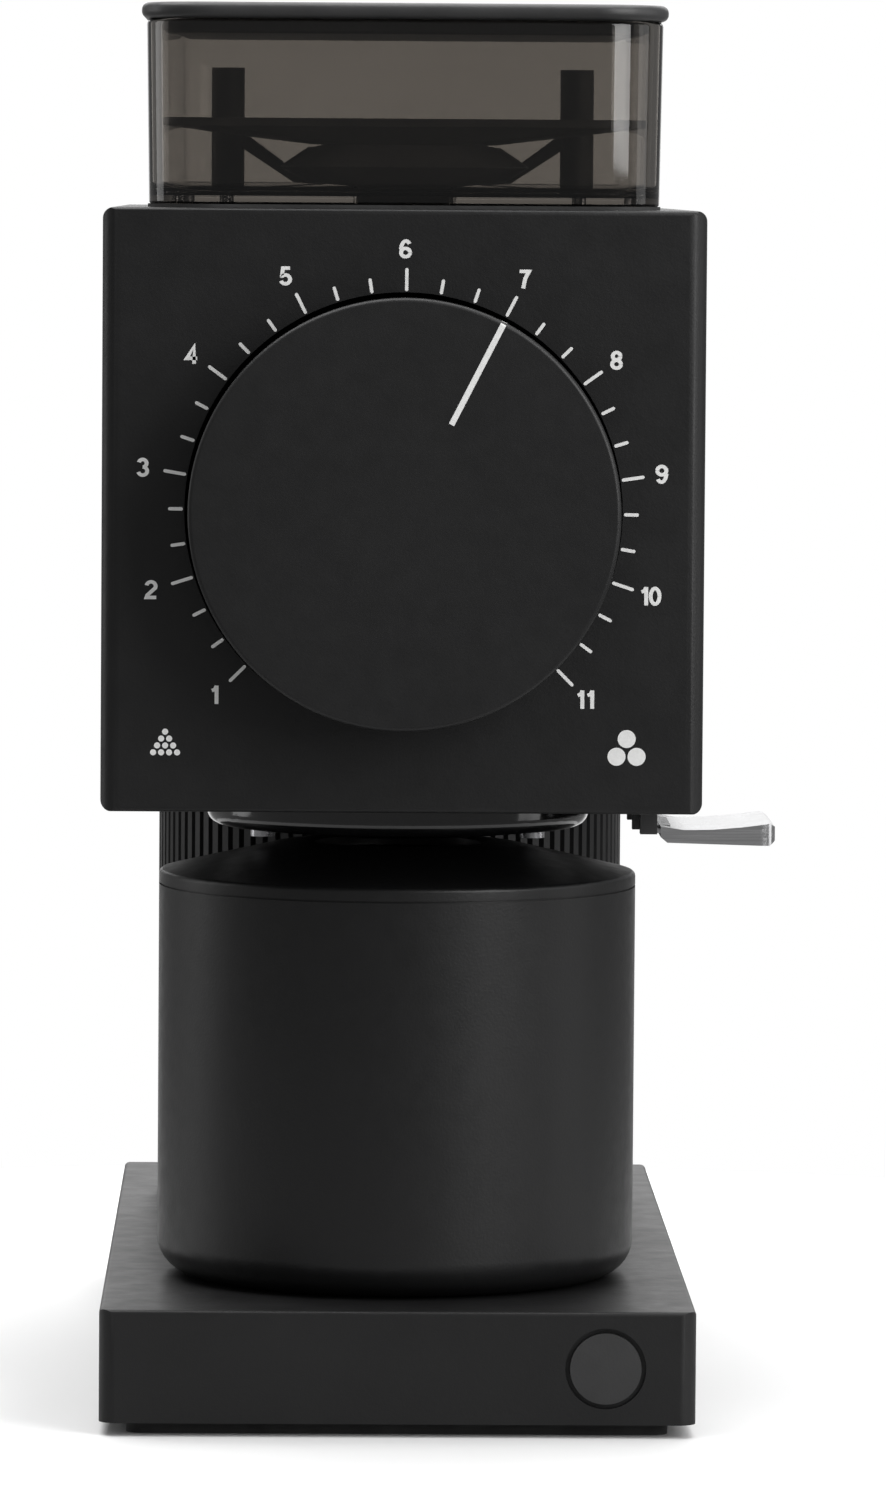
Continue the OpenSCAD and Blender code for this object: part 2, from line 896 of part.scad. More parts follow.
// A burr screw pointing down from its head's top at z = 0.
module burr_screw(len) {
    translate([0, 0, -len])
        cylinder(h = len, r = 1.5);
    difference() {
        translate([0, 0, -2.4])
            cylinder(h = 2.4, r = 2.3);
        translate([0, 0, -1.2])
            cylinder(h = 2, r = 1.1, $fn = 6);
    }
}

module outer_burr() {
    color([0.75, 0.75, 0.76])
        translate([0, carrier_back, axis_z])
            rotate([-90, 0, 0])
                burr_shape();
}

module inner_burr() {
    color([0.75, 0.75, 0.76])
        facing_front(inner_back)
            burr_shape();
}

burr_screw_len = 10.5;
burr_screw_sink = 0.8;

// The outer burr faces the back, so its screws' places are mirrored.
module outer_screw_places(y) {
    translate([0, y, axis_z])
        rotate([-90, 0, 0])
            for (a = [90:120:330])
                rotate([0, 0, a])
                    translate([burr_screw_circle, 0, 0])
                        children();
}

module outer_burr_screws() {
    color([0.5, 0.5, 0.52])
        outer_screw_places(outer_face - burr_screw_sink)
            burr_screw(burr_screw_len);
}

module inner_burr_screws() {
    color([0.5, 0.5, 0.52])
        burr_screw_places(inner_face + burr_screw_sink)
            burr_screw(burr_screw_len);
}

module inner_burr_carrier() {
    color([0.6, 0.6, 0.62])
        difference() {
            union() {
                disc(inner_back, inner_back + rotor_disc_t, burr_r + 1);
                disc(inner_face + 2, inner_back, shaft_r + 4);
                // paddles that sweep the grounds to the outlet
                facing_front(inner_back + rotor_disc_t)
                    for (a = [0:120:240])
                        rotate([0, 0, a])
                            translate([burr_r - 1, -2, 0])
                                cube([5.2, 4, rotor_disc_t]);
            }
            disc(inner_face, inner_back + rotor_disc_t + cut, shaft_r + fixed_gap);
            burr_screw_places(inner_back + 5)
                cylinder(h = 5 + cut, r = 1.5 + fixed_gap);
        }
}

// A helical flight of rectangular section around +Z, from z = 0 to z = h.
module screw_flight(r_in, r_out, t, turns, h) {
    steps = 36 * turns;
    rise = (h - t) / steps;
    points = [
        for (i = [0:steps], c = [[r_in, 0], [r_out, 0], [r_out, t], [r_in, t]])
            let (a = 360 * turns * i / steps)
            [c[0] * cos(a), c[0] * sin(a), rise * i + c[1]]
    ];
    skin = [
        for (i = [0:steps - 1], c = [0:3])
            let (d = (c + 1) % 4)
            [4 * i + c, 4 * i + d, 4 * (i + 1) + d, 4 * (i + 1) + c]
    ];
    ends = [[3, 2, 1, 0], [for (c = [0:3]) 4 * steps + c]];
    polyhedron(points = points, faces = concat(skin, ends), convexity = 8);
}

module feed_auger() {
    y1 = inner_face + 2;
    flight_len = outer_face - 2 - auger_front;
    flight_t = 2.4;
    color([0.68, 0.68, 0.7])
        difference() {
            union() {
                disc(auger_front, y1, shaft_r + 3);
                facing_front(auger_front + flight_len)
                    screw_flight(shaft_r + 1, auger_r, flight_t, 2, flight_len);
            }
            disc(auger_front - cut, y1 + cut, shaft_r + fixed_gap);
        }
}

module auger_bolt() {
    color([0.5, 0.5, 0.52])
        difference() {
            union() {
                disc(auger_front - 3, auger_front, 7.5);
                disc(auger_front, auger_front + 13, 3);
            }
            facing_front(auger_front - 1)
                cylinder(h = 3, r = 2.5, $fn = 6);
        }
}

// ---------- adjuster ----------

module outer_burr_carrier() {
    slide_r = bore_r - 0.06;
    ring_front = carrier_back - carrier_ring_t;
    boss_r = 15;
    screw_hole_depth = 5;
    color([0.6, 0.6, 0.62])
        difference() {
            union() {
                ring(ring_front, carrier_back, slide_r, burr_hole_r + 0.25);
                disc(spider_y, spider_y + spider_t, boss_r);
                // three arms and legs leave the top open for the beans
                facing_front(spider_y + spider_t)
                    for (a = [30:120:270])
                        rotate([0, 0, a])
                            translate([boss_r - 3, -4.5, 0])
                                cube([slide_r - 1.4 - boss_r + 3, 9, spider_t]);
                facing_front(ring_front + 1)
                    for (a = [30:120:270])
                        rotate([0, 0, a])
                            translate([burr_hole_r + 3, -4.5, 0])
                                cube([slide_r - 1.4 - burr_hole_r - 3, 9, ring_front + 1 - spider_y]);
            }
            disc(spider_y - cut, spider_y + spider_t + cut, stub_r + run_gap);
            for (a = [0, 180])
                rod_at(ring_front - cut, carrier_back + cut, guide_circle_r, a, guide_pin_r + run_gap);
            // blind holes for the burr's screws, which reach 3.3 mm into the ring
            outer_screw_places(carrier_back - screw_hole_depth)
                cylinder(h = screw_hole_depth + cut, r = 1.5 + fixed_gap);
        }
}

module dial_profile(front, back, r, edge) {
    len = back - front;
    steps = 8;
    draft = 0.9;                          // how much narrower the back is
    polygon(concat(
        [[0, 0], [r - draft, 0]],
        [for (i = [0:steps])
            let (a = 90 * i / steps)
            [r - edge + edge * cos(a), len - edge + edge * sin(a)]],
        [[0, len]]
    ));
}

// The white line: a radial groove in the face that runs over the rim.
module pointer_line() {
    rim_run = 3;
    facing_front(dial_front + pointer_depth)
        rotate([0, 0, -pointer_turn])
            translate([-pointer_w / 2, pointer_start, 0])
                cube([pointer_w, dial_r - pointer_start - 0.4, pointer_depth + cut]);
    facing_front(dial_front + rim_run)
        rotate([0, 0, -pointer_turn])
            translate([-pointer_w / 2, dial_r - pointer_depth, 0])
                cube([pointer_w, pointer_depth + cut, rim_run - pointer_depth + 0.01]);
}

module dial_solid() {
    facing_front(dial_back)
        rotate_extrude($fn = 128)
            dial_profile(dial_front, dial_back, dial_r, 0.8);
}

module dial_knob() {
    color([0.15, 0.15, 0.15])
        difference() {
            dial_solid();
            disc(dial_front + dial_wall, dial_back + cut, dial_r - 3);
            pointer_line();
        }
}

module pointer_inlay() {
    color([0.95, 0.95, 0.95])
        intersection() {
            dial_solid();
            pointer_line();
        }
}

module dial_hub() {
    click_back = dial_back - 0.5;
    color([0.6, 0.6, 0.62])
        difference() {
            union() {
                disc(dial_front + dial_wall, dial_front + dial_wall + 4, 22);
                disc(dial_front + dial_wall, chamber_front + front_wall - 0.1, hub_r);
                disc(chamber_front, spider_y + spider_t - 0.8, stub_r);
                disc(click_back - 2.4, click_back, dial_r - 4.3);
                for (a = [0:60:300])
                    facing_front(click_back - 1)
                        rotate([0, 0, a])
                            translate([8, -1, 0])
                                cube([dial_r - 13, 2, click_back - 1 - dial_front - dial_wall]);
            }
            for (a = [0:click_step:359])
                rod_at(click_back - 3, click_back + cut, click_r, a, 1.3);
        }
}

module hub_clip() {
    y0 = chamber_front + front_wall + 0.15;
    color([0.5, 0.5, 0.52])
        ring(y0, y0 + 1, 11, stub_r + fixed_gap);
}

module detent_ball() {
    color([0.75, 0.75, 0.77])
        facing_front(dial_back - 0.5 + 0.1 + ball_r)
            rotate([0, 0, 90])
                translate([click_r, 0, 0])
                    sphere(r = ball_r, $fn = 32);
}

module detent_spring() {
    y0 = dial_back - 0.4 + 2 * ball_r;
    y1 = chamber_front + 4;
    color([0.6, 0.6, 0.62])
        translate([0, y1, axis_z + click_r])
            rotate([90, 0, 0])
                coil_spring(1.4, 0.25, 4, y1 - y0);
}

// ---------- chute and cup ----------

module chute_spout() {
    color([0.1, 0.1, 0.1])
        difference() {
            post(0, chute_y, spout_bottom, head_z + 9.5, spout_r);
            post(0, chute_y, spout_bottom - cut, head_z + 9.5 + cut, spout_r - spout_wall);
        }
}

module chute_ring() {
    shoulder = 2.6;
    steps = 6;
    foot = head_z - 7.2;
    color([0.1, 0.1, 0.1])
        difference() {
            translate([0, chute_y, 0])
                rotate_extrude($fn = 96)
                    polygon(concat(
                        [[spout_r + fixed_gap, head_z], [dish_r, head_z]],
                        [for (i = [0:steps])
                            let (a = 90 * i / steps)
                            [dish_r - shoulder + shoulder * cos(a), foot + 1.3 + shoulder * (1 - sin(a))]],
                        [[spout_r + 8, foot + 0.2], [spout_r + fixed_gap, foot]]
                    ));
            for (s = [-1, 1]) {
                post(s * chute_screw_x, chute_y, foot - cut, head_z + cut, m3_r + fixed_gap);
                post(s * chute_screw_x, chute_y, foot - cut, foot + 1.6, 2.4);
            }
        }
}

module chute_screws() {
    foot = head_z - 7.2;
    color([0.75, 0.75, 0.77])
        for (s = [-1, 1]) {
            post(s * chute_screw_x, chute_y, foot + 1.6, head_z + wall, m3_r);
            post(s * chute_screw_x, chute_y, foot - 1.1, foot + 1.6, 2.2);
        }
}

cup_foot = base_top + body_gap;
cup_fillet = 6.4;

function cup_outline(r, foot, fillet, top) = concat(
    [[0, foot]],
    [for (i = [0:8])
        let (a = 90 * i / 8)
        [r - fillet + fillet * sin(a), foot + fillet * (1 - cos(a))]],
    [[r, top], [0, top]]
);

module cup_body() {
    color([0.13, 0.13, 0.13])
        translate([0, chute_y, 0])
            rotate_extrude($fn = 96)
                difference() {
                    polygon(cup_outline(cup_r, cup_foot, cup_fillet, cup_top));
                    polygon(cup_outline(cup_r - cup_wall, cup_foot + 2, cup_fillet - 1, cup_top + cut));
                }
}

module cup_lid() {
    shoulder = 0.9;
    side_top = cup_top + 2.7;
    seam = 0.35;                          // groove between cup and lid
    hole_r = 15;
    crown_z = cup_top + 8;
    t = 1.6;
    plug_r = cup_r - cup_wall - 0.1;
    color([0.12, 0.12, 0.12])
        translate([0, chute_y, 0])
            rotate_extrude($fn = 96)
                polygon(concat(
                    [[cup_r - seam, cup_top], [cup_r - seam, cup_top + seam], [cup_r, cup_top + seam]],
                    [for (i = [0:4])
                        let (a = 80 * i / 4)
                        [cup_r - shoulder * (1 - cos(a)), side_top - shoulder + shoulder * sin(a)]],
                    [[hole_r + 7, crown_z - 0.6], [hole_r + 2, crown_z], [hole_r, crown_z - 0.5],
                     [hole_r, crown_z - t - 0.5], [hole_r + 7, crown_z - 0.6 - t],
                     [plug_r - t, cup_top + 0.6], [plug_r - t, cup_top - 5],
                     [plug_r, cup_top - 5], [plug_r, cup_top]]
                ));
}

// ---------- hopper ----------

module hopper_slice(grow, z, t = 0.01) {
    r = hopper_corner + grow / 2;
    slab(hopper_w + grow, hopper_len + grow, r, z, z + t, hopper_y);
}

module hopper_gasket() {
    color([0.05, 0.05, 0.05])
        difference() {
            hopper_slice(0.4, head_top, gasket_t);
            translate([0, 0, -cut])
                hopper_slice(-2 * shell_wall, head_top, gasket_t + 2 * cut);
        }
}

module feed_block(grow, z0, z1) {
    block(-feed_w / 2 - grow, feed_w / 2 + grow,
          feed_y - feed_len / 2 - grow, feed_y + feed_len / 2 + grow, z0, z1);
}

module hopper_shell() {
    color([0.35, 0.33, 0.3, 0.4])
        difference() {
            hull($fn = 32) {
                hopper_slice(0, shell_foot);
                hopper_slice(shell_flare, shell_rim - 0.01);
            }
            hull($fn = 32) {
                hopper_slice(-2 * shell_wall, shell_foot + shell_floor);
                hopper_slice(shell_flare - 2 * shell_wall, shell_rim + 0.1);
            }
            feed_block(1.6, shell_foot - cut, shell_foot + shell_floor + cut);
            for (s = [-1, 1])
                post(s * post_x, hopper_y, shell_foot - cut, shell_foot + shell_floor + cut, m3_r + 0.1);
        }
}

slice_t = 0.2;

module tray_slice(w, l, r, z, y) {
    slab(w, l, r, z, z + slice_t, y);
}

module hopper_funnel() {
    sheet = 1.4;
    rim_w = hopper_w - 2 * shell_wall - 0.4;
    rim_len = hopper_len - 2 * shell_wall - 0.4;
    mouth_w = 31.4;
    mouth_len = 25;
    mouth_z = tray_z - 4.6;
    belly_z = mouth_z - 3.9;
    foot_z = mouth_z - 8;
    floor_z = shell_foot + shell_floor;
    neck_bottom = head_top - wall - 6;
    color([0.08, 0.08, 0.08])
        difference() {
            union() {
                difference() {
                    union() {
                        // shallow tray
                        hull($fn = 32) {
                            slab(rim_w, rim_len, 9, tray_z - sheet, tray_z, hopper_y);
                            tray_slice(mouth_w, mouth_len, 8, mouth_z, feed_y);
                        }
                        // bowl under it
                        hull($fn = 32) {
                            tray_slice(mouth_w - 0.6, mouth_len - 0.6, 7.7, mouth_z + 0.4, feed_y);
                            tray_slice(43.6, 29, 9, belly_z, feed_y);
                            tray_slice(34, 25, 8, foot_z + 1.3, feed_y);
                            tray_slice(feed_w + 6, feed_len + 4, 4, foot_z, feed_y);
                        }
                    }
                    hull($fn = 32) {
                        tray_slice(rim_w - 2 * sheet, rim_len - 2 * sheet, 8, tray_z + 0.1, hopper_y);
                        tray_slice(mouth_w - 2 * sheet, mouth_len - 2 * sheet, 6, mouth_z + sheet, feed_y);
                    }
                    hull($fn = 32) {
                        tray_slice(mouth_w - 3 * sheet, mouth_len - 3 * sheet, 5.4, mouth_z + 2 * sheet, feed_y);
                        tray_slice(43.6 - 3 * sheet, 29 - 3 * sheet, 7, belly_z + 0.3, feed_y);
                        tray_slice(feed_w + 1.2, feed_len + 1.2, 3, foot_z + sheet, feed_y);
                    }
                }
                // neck
                feed_block(1.2, neck_bottom, foot_z + 1);
                // screw posts, with slanting stays to the floor
                for (s = [-1, 1]) {
                    post(s * post_x, hopper_y, floor_z, post_top, post_r);
                    translate([0, hopper_y + 1.5, floor_z])
                        rotate([90, 0, 0])
                            linear_extrude(3)
                                polygon([[s * (post_x - 18.2), 0], [s * (post_x - 15.4), 0],
                                         [s * (post_x - 1), 9.4], [s * (post_x - 1), 12.6]]);
                }
            }
            feed_block(0, neck_bottom - cut, foot_z + sheet + 0.1);
            for (s = [-1, 1]) {
                post(s * post_x, hopper_y, floor_z + 3, post_top + cut, 2.2);
                post(s * post_x, hopper_y, floor_z - cut, floor_z + 4, m3_r + 0.1);
            }
        }
}

module hopper_screws() {
    seat = shell_foot + shell_floor + 3;
    color([0.6, 0.6, 0.62])
        for (s = [-1, 1]) {
            post(s * post_x, hopper_y, head_top - wall - 4, seat, m3_r);
            post(s * post_x, hopper_y, seat, seat + 2.5, 2.1);
        }
}

lid_plug_t = 2.6;

module hopper_lid() {
    edge = 1.3;
    w = hopper_w + shell_flare + lid_over;
    l = hopper_len + shell_flare + lid_over;
    corner = hopper_corner + (shell_flare + lid_over) / 2;
    plug = shell_flare - 2 * shell_wall - 1.6;
    z0 = shell_rim + 0.05;
    color([0.12, 0.12, 0.12])
        union() {
            hull($fn = 32)
                for (k = [[0, edge, 0.01], [edge, 0, lid_t - 2 * edge], [lid_t - 0.01, edge, 0.01]])
                    slab(w - 2 * k[1], l - 2 * k[1], corner - k[1], z0 + k[0], z0 + k[0] + k[2], hopper_y);
            translate([0, 0, z0 - lid_plug_t])
                hopper_slice(plug, 0, lid_plug_t + 0.5);
        }
}

module lid_gasket() {
    plug = shell_flare - 2 * shell_wall - 1.6;
    z0 = shell_rim + 0.05 - lid_plug_t + 0.5;
    color([0.06, 0.06, 0.06])
        difference() {
            hopper_slice(plug + 1, z0, 1.6);
            translate([0, 0, -cut])
                hopper_slice(plug + 0.02, z0, 1.6 + 2 * cut);
        }
}

// ---------- knocker ----------

module along_y(x, z, y0, y1, r) {
    translate([x, y0, z])
        rotate([-90, 0, 0])
            cylinder(h = y1 - y0, r = r);
}

module knocker_bracket() {
    base_z = head_z - 1.5;
    slot_x = head_w / 2 - wall - 0.1;
    color([0.08, 0.08, 0.08])
        difference() {
            union() {
                block(38, slot_x, ear_front - 6, ear_rear, base_z, head_z);
                for (y = [ear_front, ear_rear - ear_t])
                    block(pivot_x - 2.5, pivot_x + 1.9, y, y + ear_t, pivot_z - 1.9, base_z + 0.5);
                block(43, 46, ear_front - 6, ear_front - 2.5, head_z - 6, base_z + 0.5);
            }
            along_y(pivot_x, pivot_z, ear_front - cut, ear_rear + cut, knock_pin_r + fixed_gap);
            block(pivot_x - 3.5, slot_x - 1, chute_y - 8, chute_y + 3, base_z - cut, head_z + cut);
        }
}

module knocker_pin() {
    color([0.75, 0.75, 0.77])
        along_y(pivot_x, pivot_z, ear_front - 0.5, ear_rear + 0.5, knock_pin_r);
}

module knocker_lever() {
    inner_x = 46.8;
    outer_x = 67.4;
    y0 = ear_front - 2;
    y1 = y0 + 32;
    // section seen from the front, measured down from the head's underside
    top = [[inner_x, -4.9], [51, -5.5], [56, -5.4], [61, -5], [outer_x - 1, -4.3], [outer_x, -5]];
    bottom = [[outer_x, -7.4], [outer_x - 1, -8.3], [inner_x + 1.2, -7.8], [inner_x, -6.8]];
    tip_r = 3;
    color([0.78, 0.78, 0.79])
        difference() {
            union() {
                intersection() {
                    translate([0, y1, head_z])
                        rotate([90, 0, 0])
                            linear_extrude(y1 - y0)
                                polygon(concat(top, bottom));
                    translate([(inner_x + outer_x) / 2 - 5, (y0 + y1) / 2, head_z - 20])
                        linear_extrude(20)
                            rounded_rect(outer_x - inner_x + 10, y1 - y0, tip_r);
                }
                // barrel and the web under it
                along_y(pivot_x, pivot_z, ear_front + ear_t + 0.3, ear_rear - ear_t - 0.3, barrel_r);
                block(pivot_x, inner_x + 2, ear_front + ear_t + 0.3, ear_rear - ear_t - 0.3,
                      head_z - 6.5, head_z - 5);
                // arm that strikes inside the head
                block(arm_x, arm_x + 3, chute_y - 5.5, chute_y + 0.5, pivot_z, head_z + 6);
            }
            along_y(pivot_x, pivot_z, ear_front - cut, ear_rear + cut, knock_pin_r + run_gap);
        }
}

module knocker_spring() {
    color([0.7, 0.7, 0.72])
        translate([spring_post_x, chute_y - 2.5, head_z + 5.2])
            rotate([0, 90, 0])
                coil_spring(1.3, 0.3, 6, arm_x - spring_post_x);
}

// ---------- start button ----------

module start_button() {
    out = 0.3;
    flange_y = front_y + wall + body_gap;
    color([0.08, 0.08, 0.08])
        union() {
            along_y(button_x, button_z, front_y - out, flange_y + 0.01, button_r);
            along_y(button_x, button_z, flange_y, flange_y + 1.5, button_r + 0.5);
            along_y(button_x, button_z, flange_y + 1, flange_y + 3, 1.6);
        }
}

module start_switch() {
    y1 = front_y + 28.5;
    y0 = y1 - 9;
    stem = front_y + wall + body_gap + 3 + button_travel + 0.3;
    color([0.2, 0.2, 0.22])
        union() {
            block(button_x - 6, button_x + 6, y0, y1, button_z - 5, button_z + 5);
            along_y(button_x, button_z, stem, y0 + 0.5, 1.6);
        }
}

module button_spring() {
    y0 = front_y + wall + body_gap + 1.5;
    y1 = front_y + 19.5;
    color([0.7, 0.7, 0.72])
        translate([button_x, y0, button_z])
            rotate([-90, 0, 0])
                coil_spring(2.1, 0.35, 7, y1 - y0);
}

// ---------- assembly ----------

foot_pad();
bottom_plate();
base_shell();
base_magnet();
countersunk_screws();
column_housing();
column_cap();
housing_screws();
cord_gland();
control_board();
power_module();
run_capacitor();
head_housing();
front_plate();
grind_chamber();
guide_pins();
wave_spring();
motor_flange();
motor_can();
stator_core();
stator_windings();
motor_end_bell();
motor_bolts();
bearing_outer_rings();
detent_ball();
detent_spring();
chute_spout();
chute_ring();
chute_screws();
hopper_gasket();
hopper_shell();
hopper_funnel();
hopper_screws();
knocker_bracket();
knocker_pin();
knocker_spring();
start_switch();
button_spring();
start_button();
dial_knob();
pointer_inlay();
dial_hub();
hub_clip();
outer_burr_carrier();
outer_burr();
outer_burr_screws();
drive_shaft();
inner_burr_carrier();
inner_burr();
inner_burr_screws();
feed_auger();
auger_bolt();
rotor_core();
rotor_fan();
bearing_inner_rings();
hopper_lid();
lid_gasket();
knocker_lever();
cup_body();
cup_lid();
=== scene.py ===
"""Looks for the burr coffee grinder: materials, the clear hopper, the dial's scale, lights and camera.

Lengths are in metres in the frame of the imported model: +X right, +Y back, +Z up.
"""

import json
import math

import bmesh
import bpy
from mathutils import Matrix, Vector


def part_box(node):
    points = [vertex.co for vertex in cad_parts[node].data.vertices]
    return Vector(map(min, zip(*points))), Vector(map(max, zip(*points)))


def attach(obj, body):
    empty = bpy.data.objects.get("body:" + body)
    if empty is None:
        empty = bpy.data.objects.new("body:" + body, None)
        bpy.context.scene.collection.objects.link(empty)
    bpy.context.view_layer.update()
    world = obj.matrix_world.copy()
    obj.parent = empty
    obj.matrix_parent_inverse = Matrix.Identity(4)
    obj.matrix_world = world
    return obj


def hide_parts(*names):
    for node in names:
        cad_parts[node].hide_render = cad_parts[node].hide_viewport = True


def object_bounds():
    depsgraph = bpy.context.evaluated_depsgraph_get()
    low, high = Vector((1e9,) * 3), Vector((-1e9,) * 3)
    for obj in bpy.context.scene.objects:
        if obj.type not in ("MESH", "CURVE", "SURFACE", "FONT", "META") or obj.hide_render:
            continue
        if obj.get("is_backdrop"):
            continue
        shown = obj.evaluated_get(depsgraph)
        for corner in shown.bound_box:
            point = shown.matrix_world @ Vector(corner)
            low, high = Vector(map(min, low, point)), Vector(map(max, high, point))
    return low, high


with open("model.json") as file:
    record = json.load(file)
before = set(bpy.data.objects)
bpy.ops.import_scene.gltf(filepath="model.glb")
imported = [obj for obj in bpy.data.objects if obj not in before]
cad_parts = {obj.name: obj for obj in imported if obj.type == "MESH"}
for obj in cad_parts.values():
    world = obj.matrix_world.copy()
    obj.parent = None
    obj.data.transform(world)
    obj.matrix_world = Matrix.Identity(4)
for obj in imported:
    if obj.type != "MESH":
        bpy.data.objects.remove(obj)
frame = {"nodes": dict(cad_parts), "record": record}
cad_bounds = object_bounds()
NODES = frame["nodes"]
RECORD = frame["record"]
MM = 0.001

# The camera: where it stands, which way it looks, and how it is tilted, as on the photograph
CAMERA_PLACE = Vector((-18.6, -1587.3, 219.7)) * MM
CAMERA_YAW = math.radians(1.0)
CAMERA_PITCH = math.radians(3.84)
CAMERA_ROLL = math.radians(0.41)
CAMERA_LENS = 203.9
SENSOR = 36

# The grind scale: eleven numbers over 270 degrees, with two small ticks between numbers
SETTINGS = 11
SETTING_STEP = 27
TICKS_PER_SETTING = 3
TOP_SETTING = 6
SCALE_TURN = 0.4  # degrees that the printing is out of true, clockwise
TICK_INNER_R = 38.3 * MM
LONG_TICK = 4.0 * MM
SHORT_TICK = 2.6 * MM
TICK_W = 0.58 * MM
NUMBER_R = 45.6 * MM
NUMBER_SHIFT = -0.3 * MM  # how far the numbers stand to the right of their ticks
NUMBER_H = 3.2 * MM
NUMBER_WIDEN = 1.12
NUMBER_STROKE = 0.19  # share of the number's height
PAINT_T = 0.04 * MM

# The hopper: corner radius in plan, wall, floor and how much wider the rim is than the foot
HOPPER_CORNER = 11.5 * MM
HOPPER_WALL = 2.2 * MM
HOPPER_FLOOR = 1.5 * MM
HOPPER_FLARE = 1.0 * MM
LID_EDGE = 1.25 * MM
LID_PLUG_DEPTH = 2.6 * MM
PLUG_EDGE = 0.8 * MM

# The slot in the hopper's floor that the beans fall through
SLOT_W = 18 * MM
SLOT_L = 22 * MM
SLOT_CORNER = 1.5 * MM
SLOT_FORWARD = 27.6 * MM  # from the hopper's middle to the slot's

# The two grind marks, measured from the middle of the front plate, +X right and +Z up
FINE_TOP = (-41.2 * MM, -38.5 * MM)
FINE_ROWS = 4
FINE_R = 0.535 * MM
FINE_ACROSS = 1.39 * MM
FINE_DOWN = 1.2 * MM
COARSE_TOP = (39.1 * MM, -39.3 * MM)
COARSE_R = 1.575 * MM
COARSE_ASIDE = 1.75 * MM
COARSE_DOWN = 3.1 * MM


# ---------- meshes ----------

def new_object(name, verts, faces, smooth_angle=35):
    """A mesh object whose edges are smooth unless they are sharper than smooth_angle degrees."""
    mesh = bpy.data.meshes.new(name)
    mesh.from_pydata([tuple(v) for v in verts], [], faces)
    mesh.validate()
    outward = bmesh.new()
    outward.from_mesh(mesh)
    bmesh.ops.recalc_face_normals(outward, faces=outward.faces)
    outward.to_mesh(mesh)
    outward.free()
    mesh.polygons.foreach_set("use_smooth", [True] * len(mesh.polygons))
    mesh.set_sharp_from_angle(angle=math.radians(smooth_angle))
    obj = bpy.data.objects.new(name, mesh)
    obj.modifiers.new("even shading", "WEIGHTED_NORMAL").keep_sharp = True
    bpy.context.scene.collection.objects.link(obj)
    return obj


def rounded_rect(width, length, radius, corner_steps=12):
    """Points of a rounded rectangle around the origin, anticlockwise from its right side."""
    points = []
    for corner, (sx, sy) in enumerate(((1, 1), (-1, 1), (-1, -1), (1, -1))):
        cx = sx * (width / 2 - radius)
        cy = sy * (length / 2 - radius)
        for step in range(corner_steps + 1):
            a = math.radians(90 * (corner + step / corner_steps))
            points.append((cx + radius * math.cos(a), cy + radius * math.sin(a)))
    return points


def loft(name, rings, closed=False, smooth_angle=35):
    """Joins rings of points, all of one length. The ends are capped unless the rings close on themselves."""
    count = len(rings[0])
    verts = [p for ring in rings for p in ring]
    faces = []
    last = len(rings) if closed else len(rings) - 1
    for i in range(last):
        a = i * count
        b = ((i + 1) % len(rings)) * count
        for j in range(count):
            k = (j + 1) % count
            faces.append((a + j, a + k, b + k, b + j))
    if not closed:
        faces.append(tuple(reversed(range(count))))
        faces.append(tuple(range(len(verts) - count, len(verts))))
    return new_object(name, verts, faces, smooth_angle)


def plan_ring(width, length, radius, z, centre):
    """A level rounded rectangle at a height."""
    return [(centre[0] + x, centre[1] + y, z) for x, y in rounded_rect(width, length, radius)]


def quarter(steps=5):
    """Pairs (sine, 1 - cosine) that round an edge, from its flat end to its side."""
    for i in range(steps + 1):
        a = math.radians(90 * i / steps)
        yield math.sin(a), 1 - math.cos(a)


def joined(name, pieces):
    """One mesh object out of several lists of (verts, faces)."""
    verts = []
    faces = []
    for piece_verts, piece_faces in pieces:
        start = len(verts)
        verts += piece_verts
        faces += [tuple(start + i for i in face) for face in piece_faces]
    return new_object(name, verts, faces)


# ---------- materials ----------

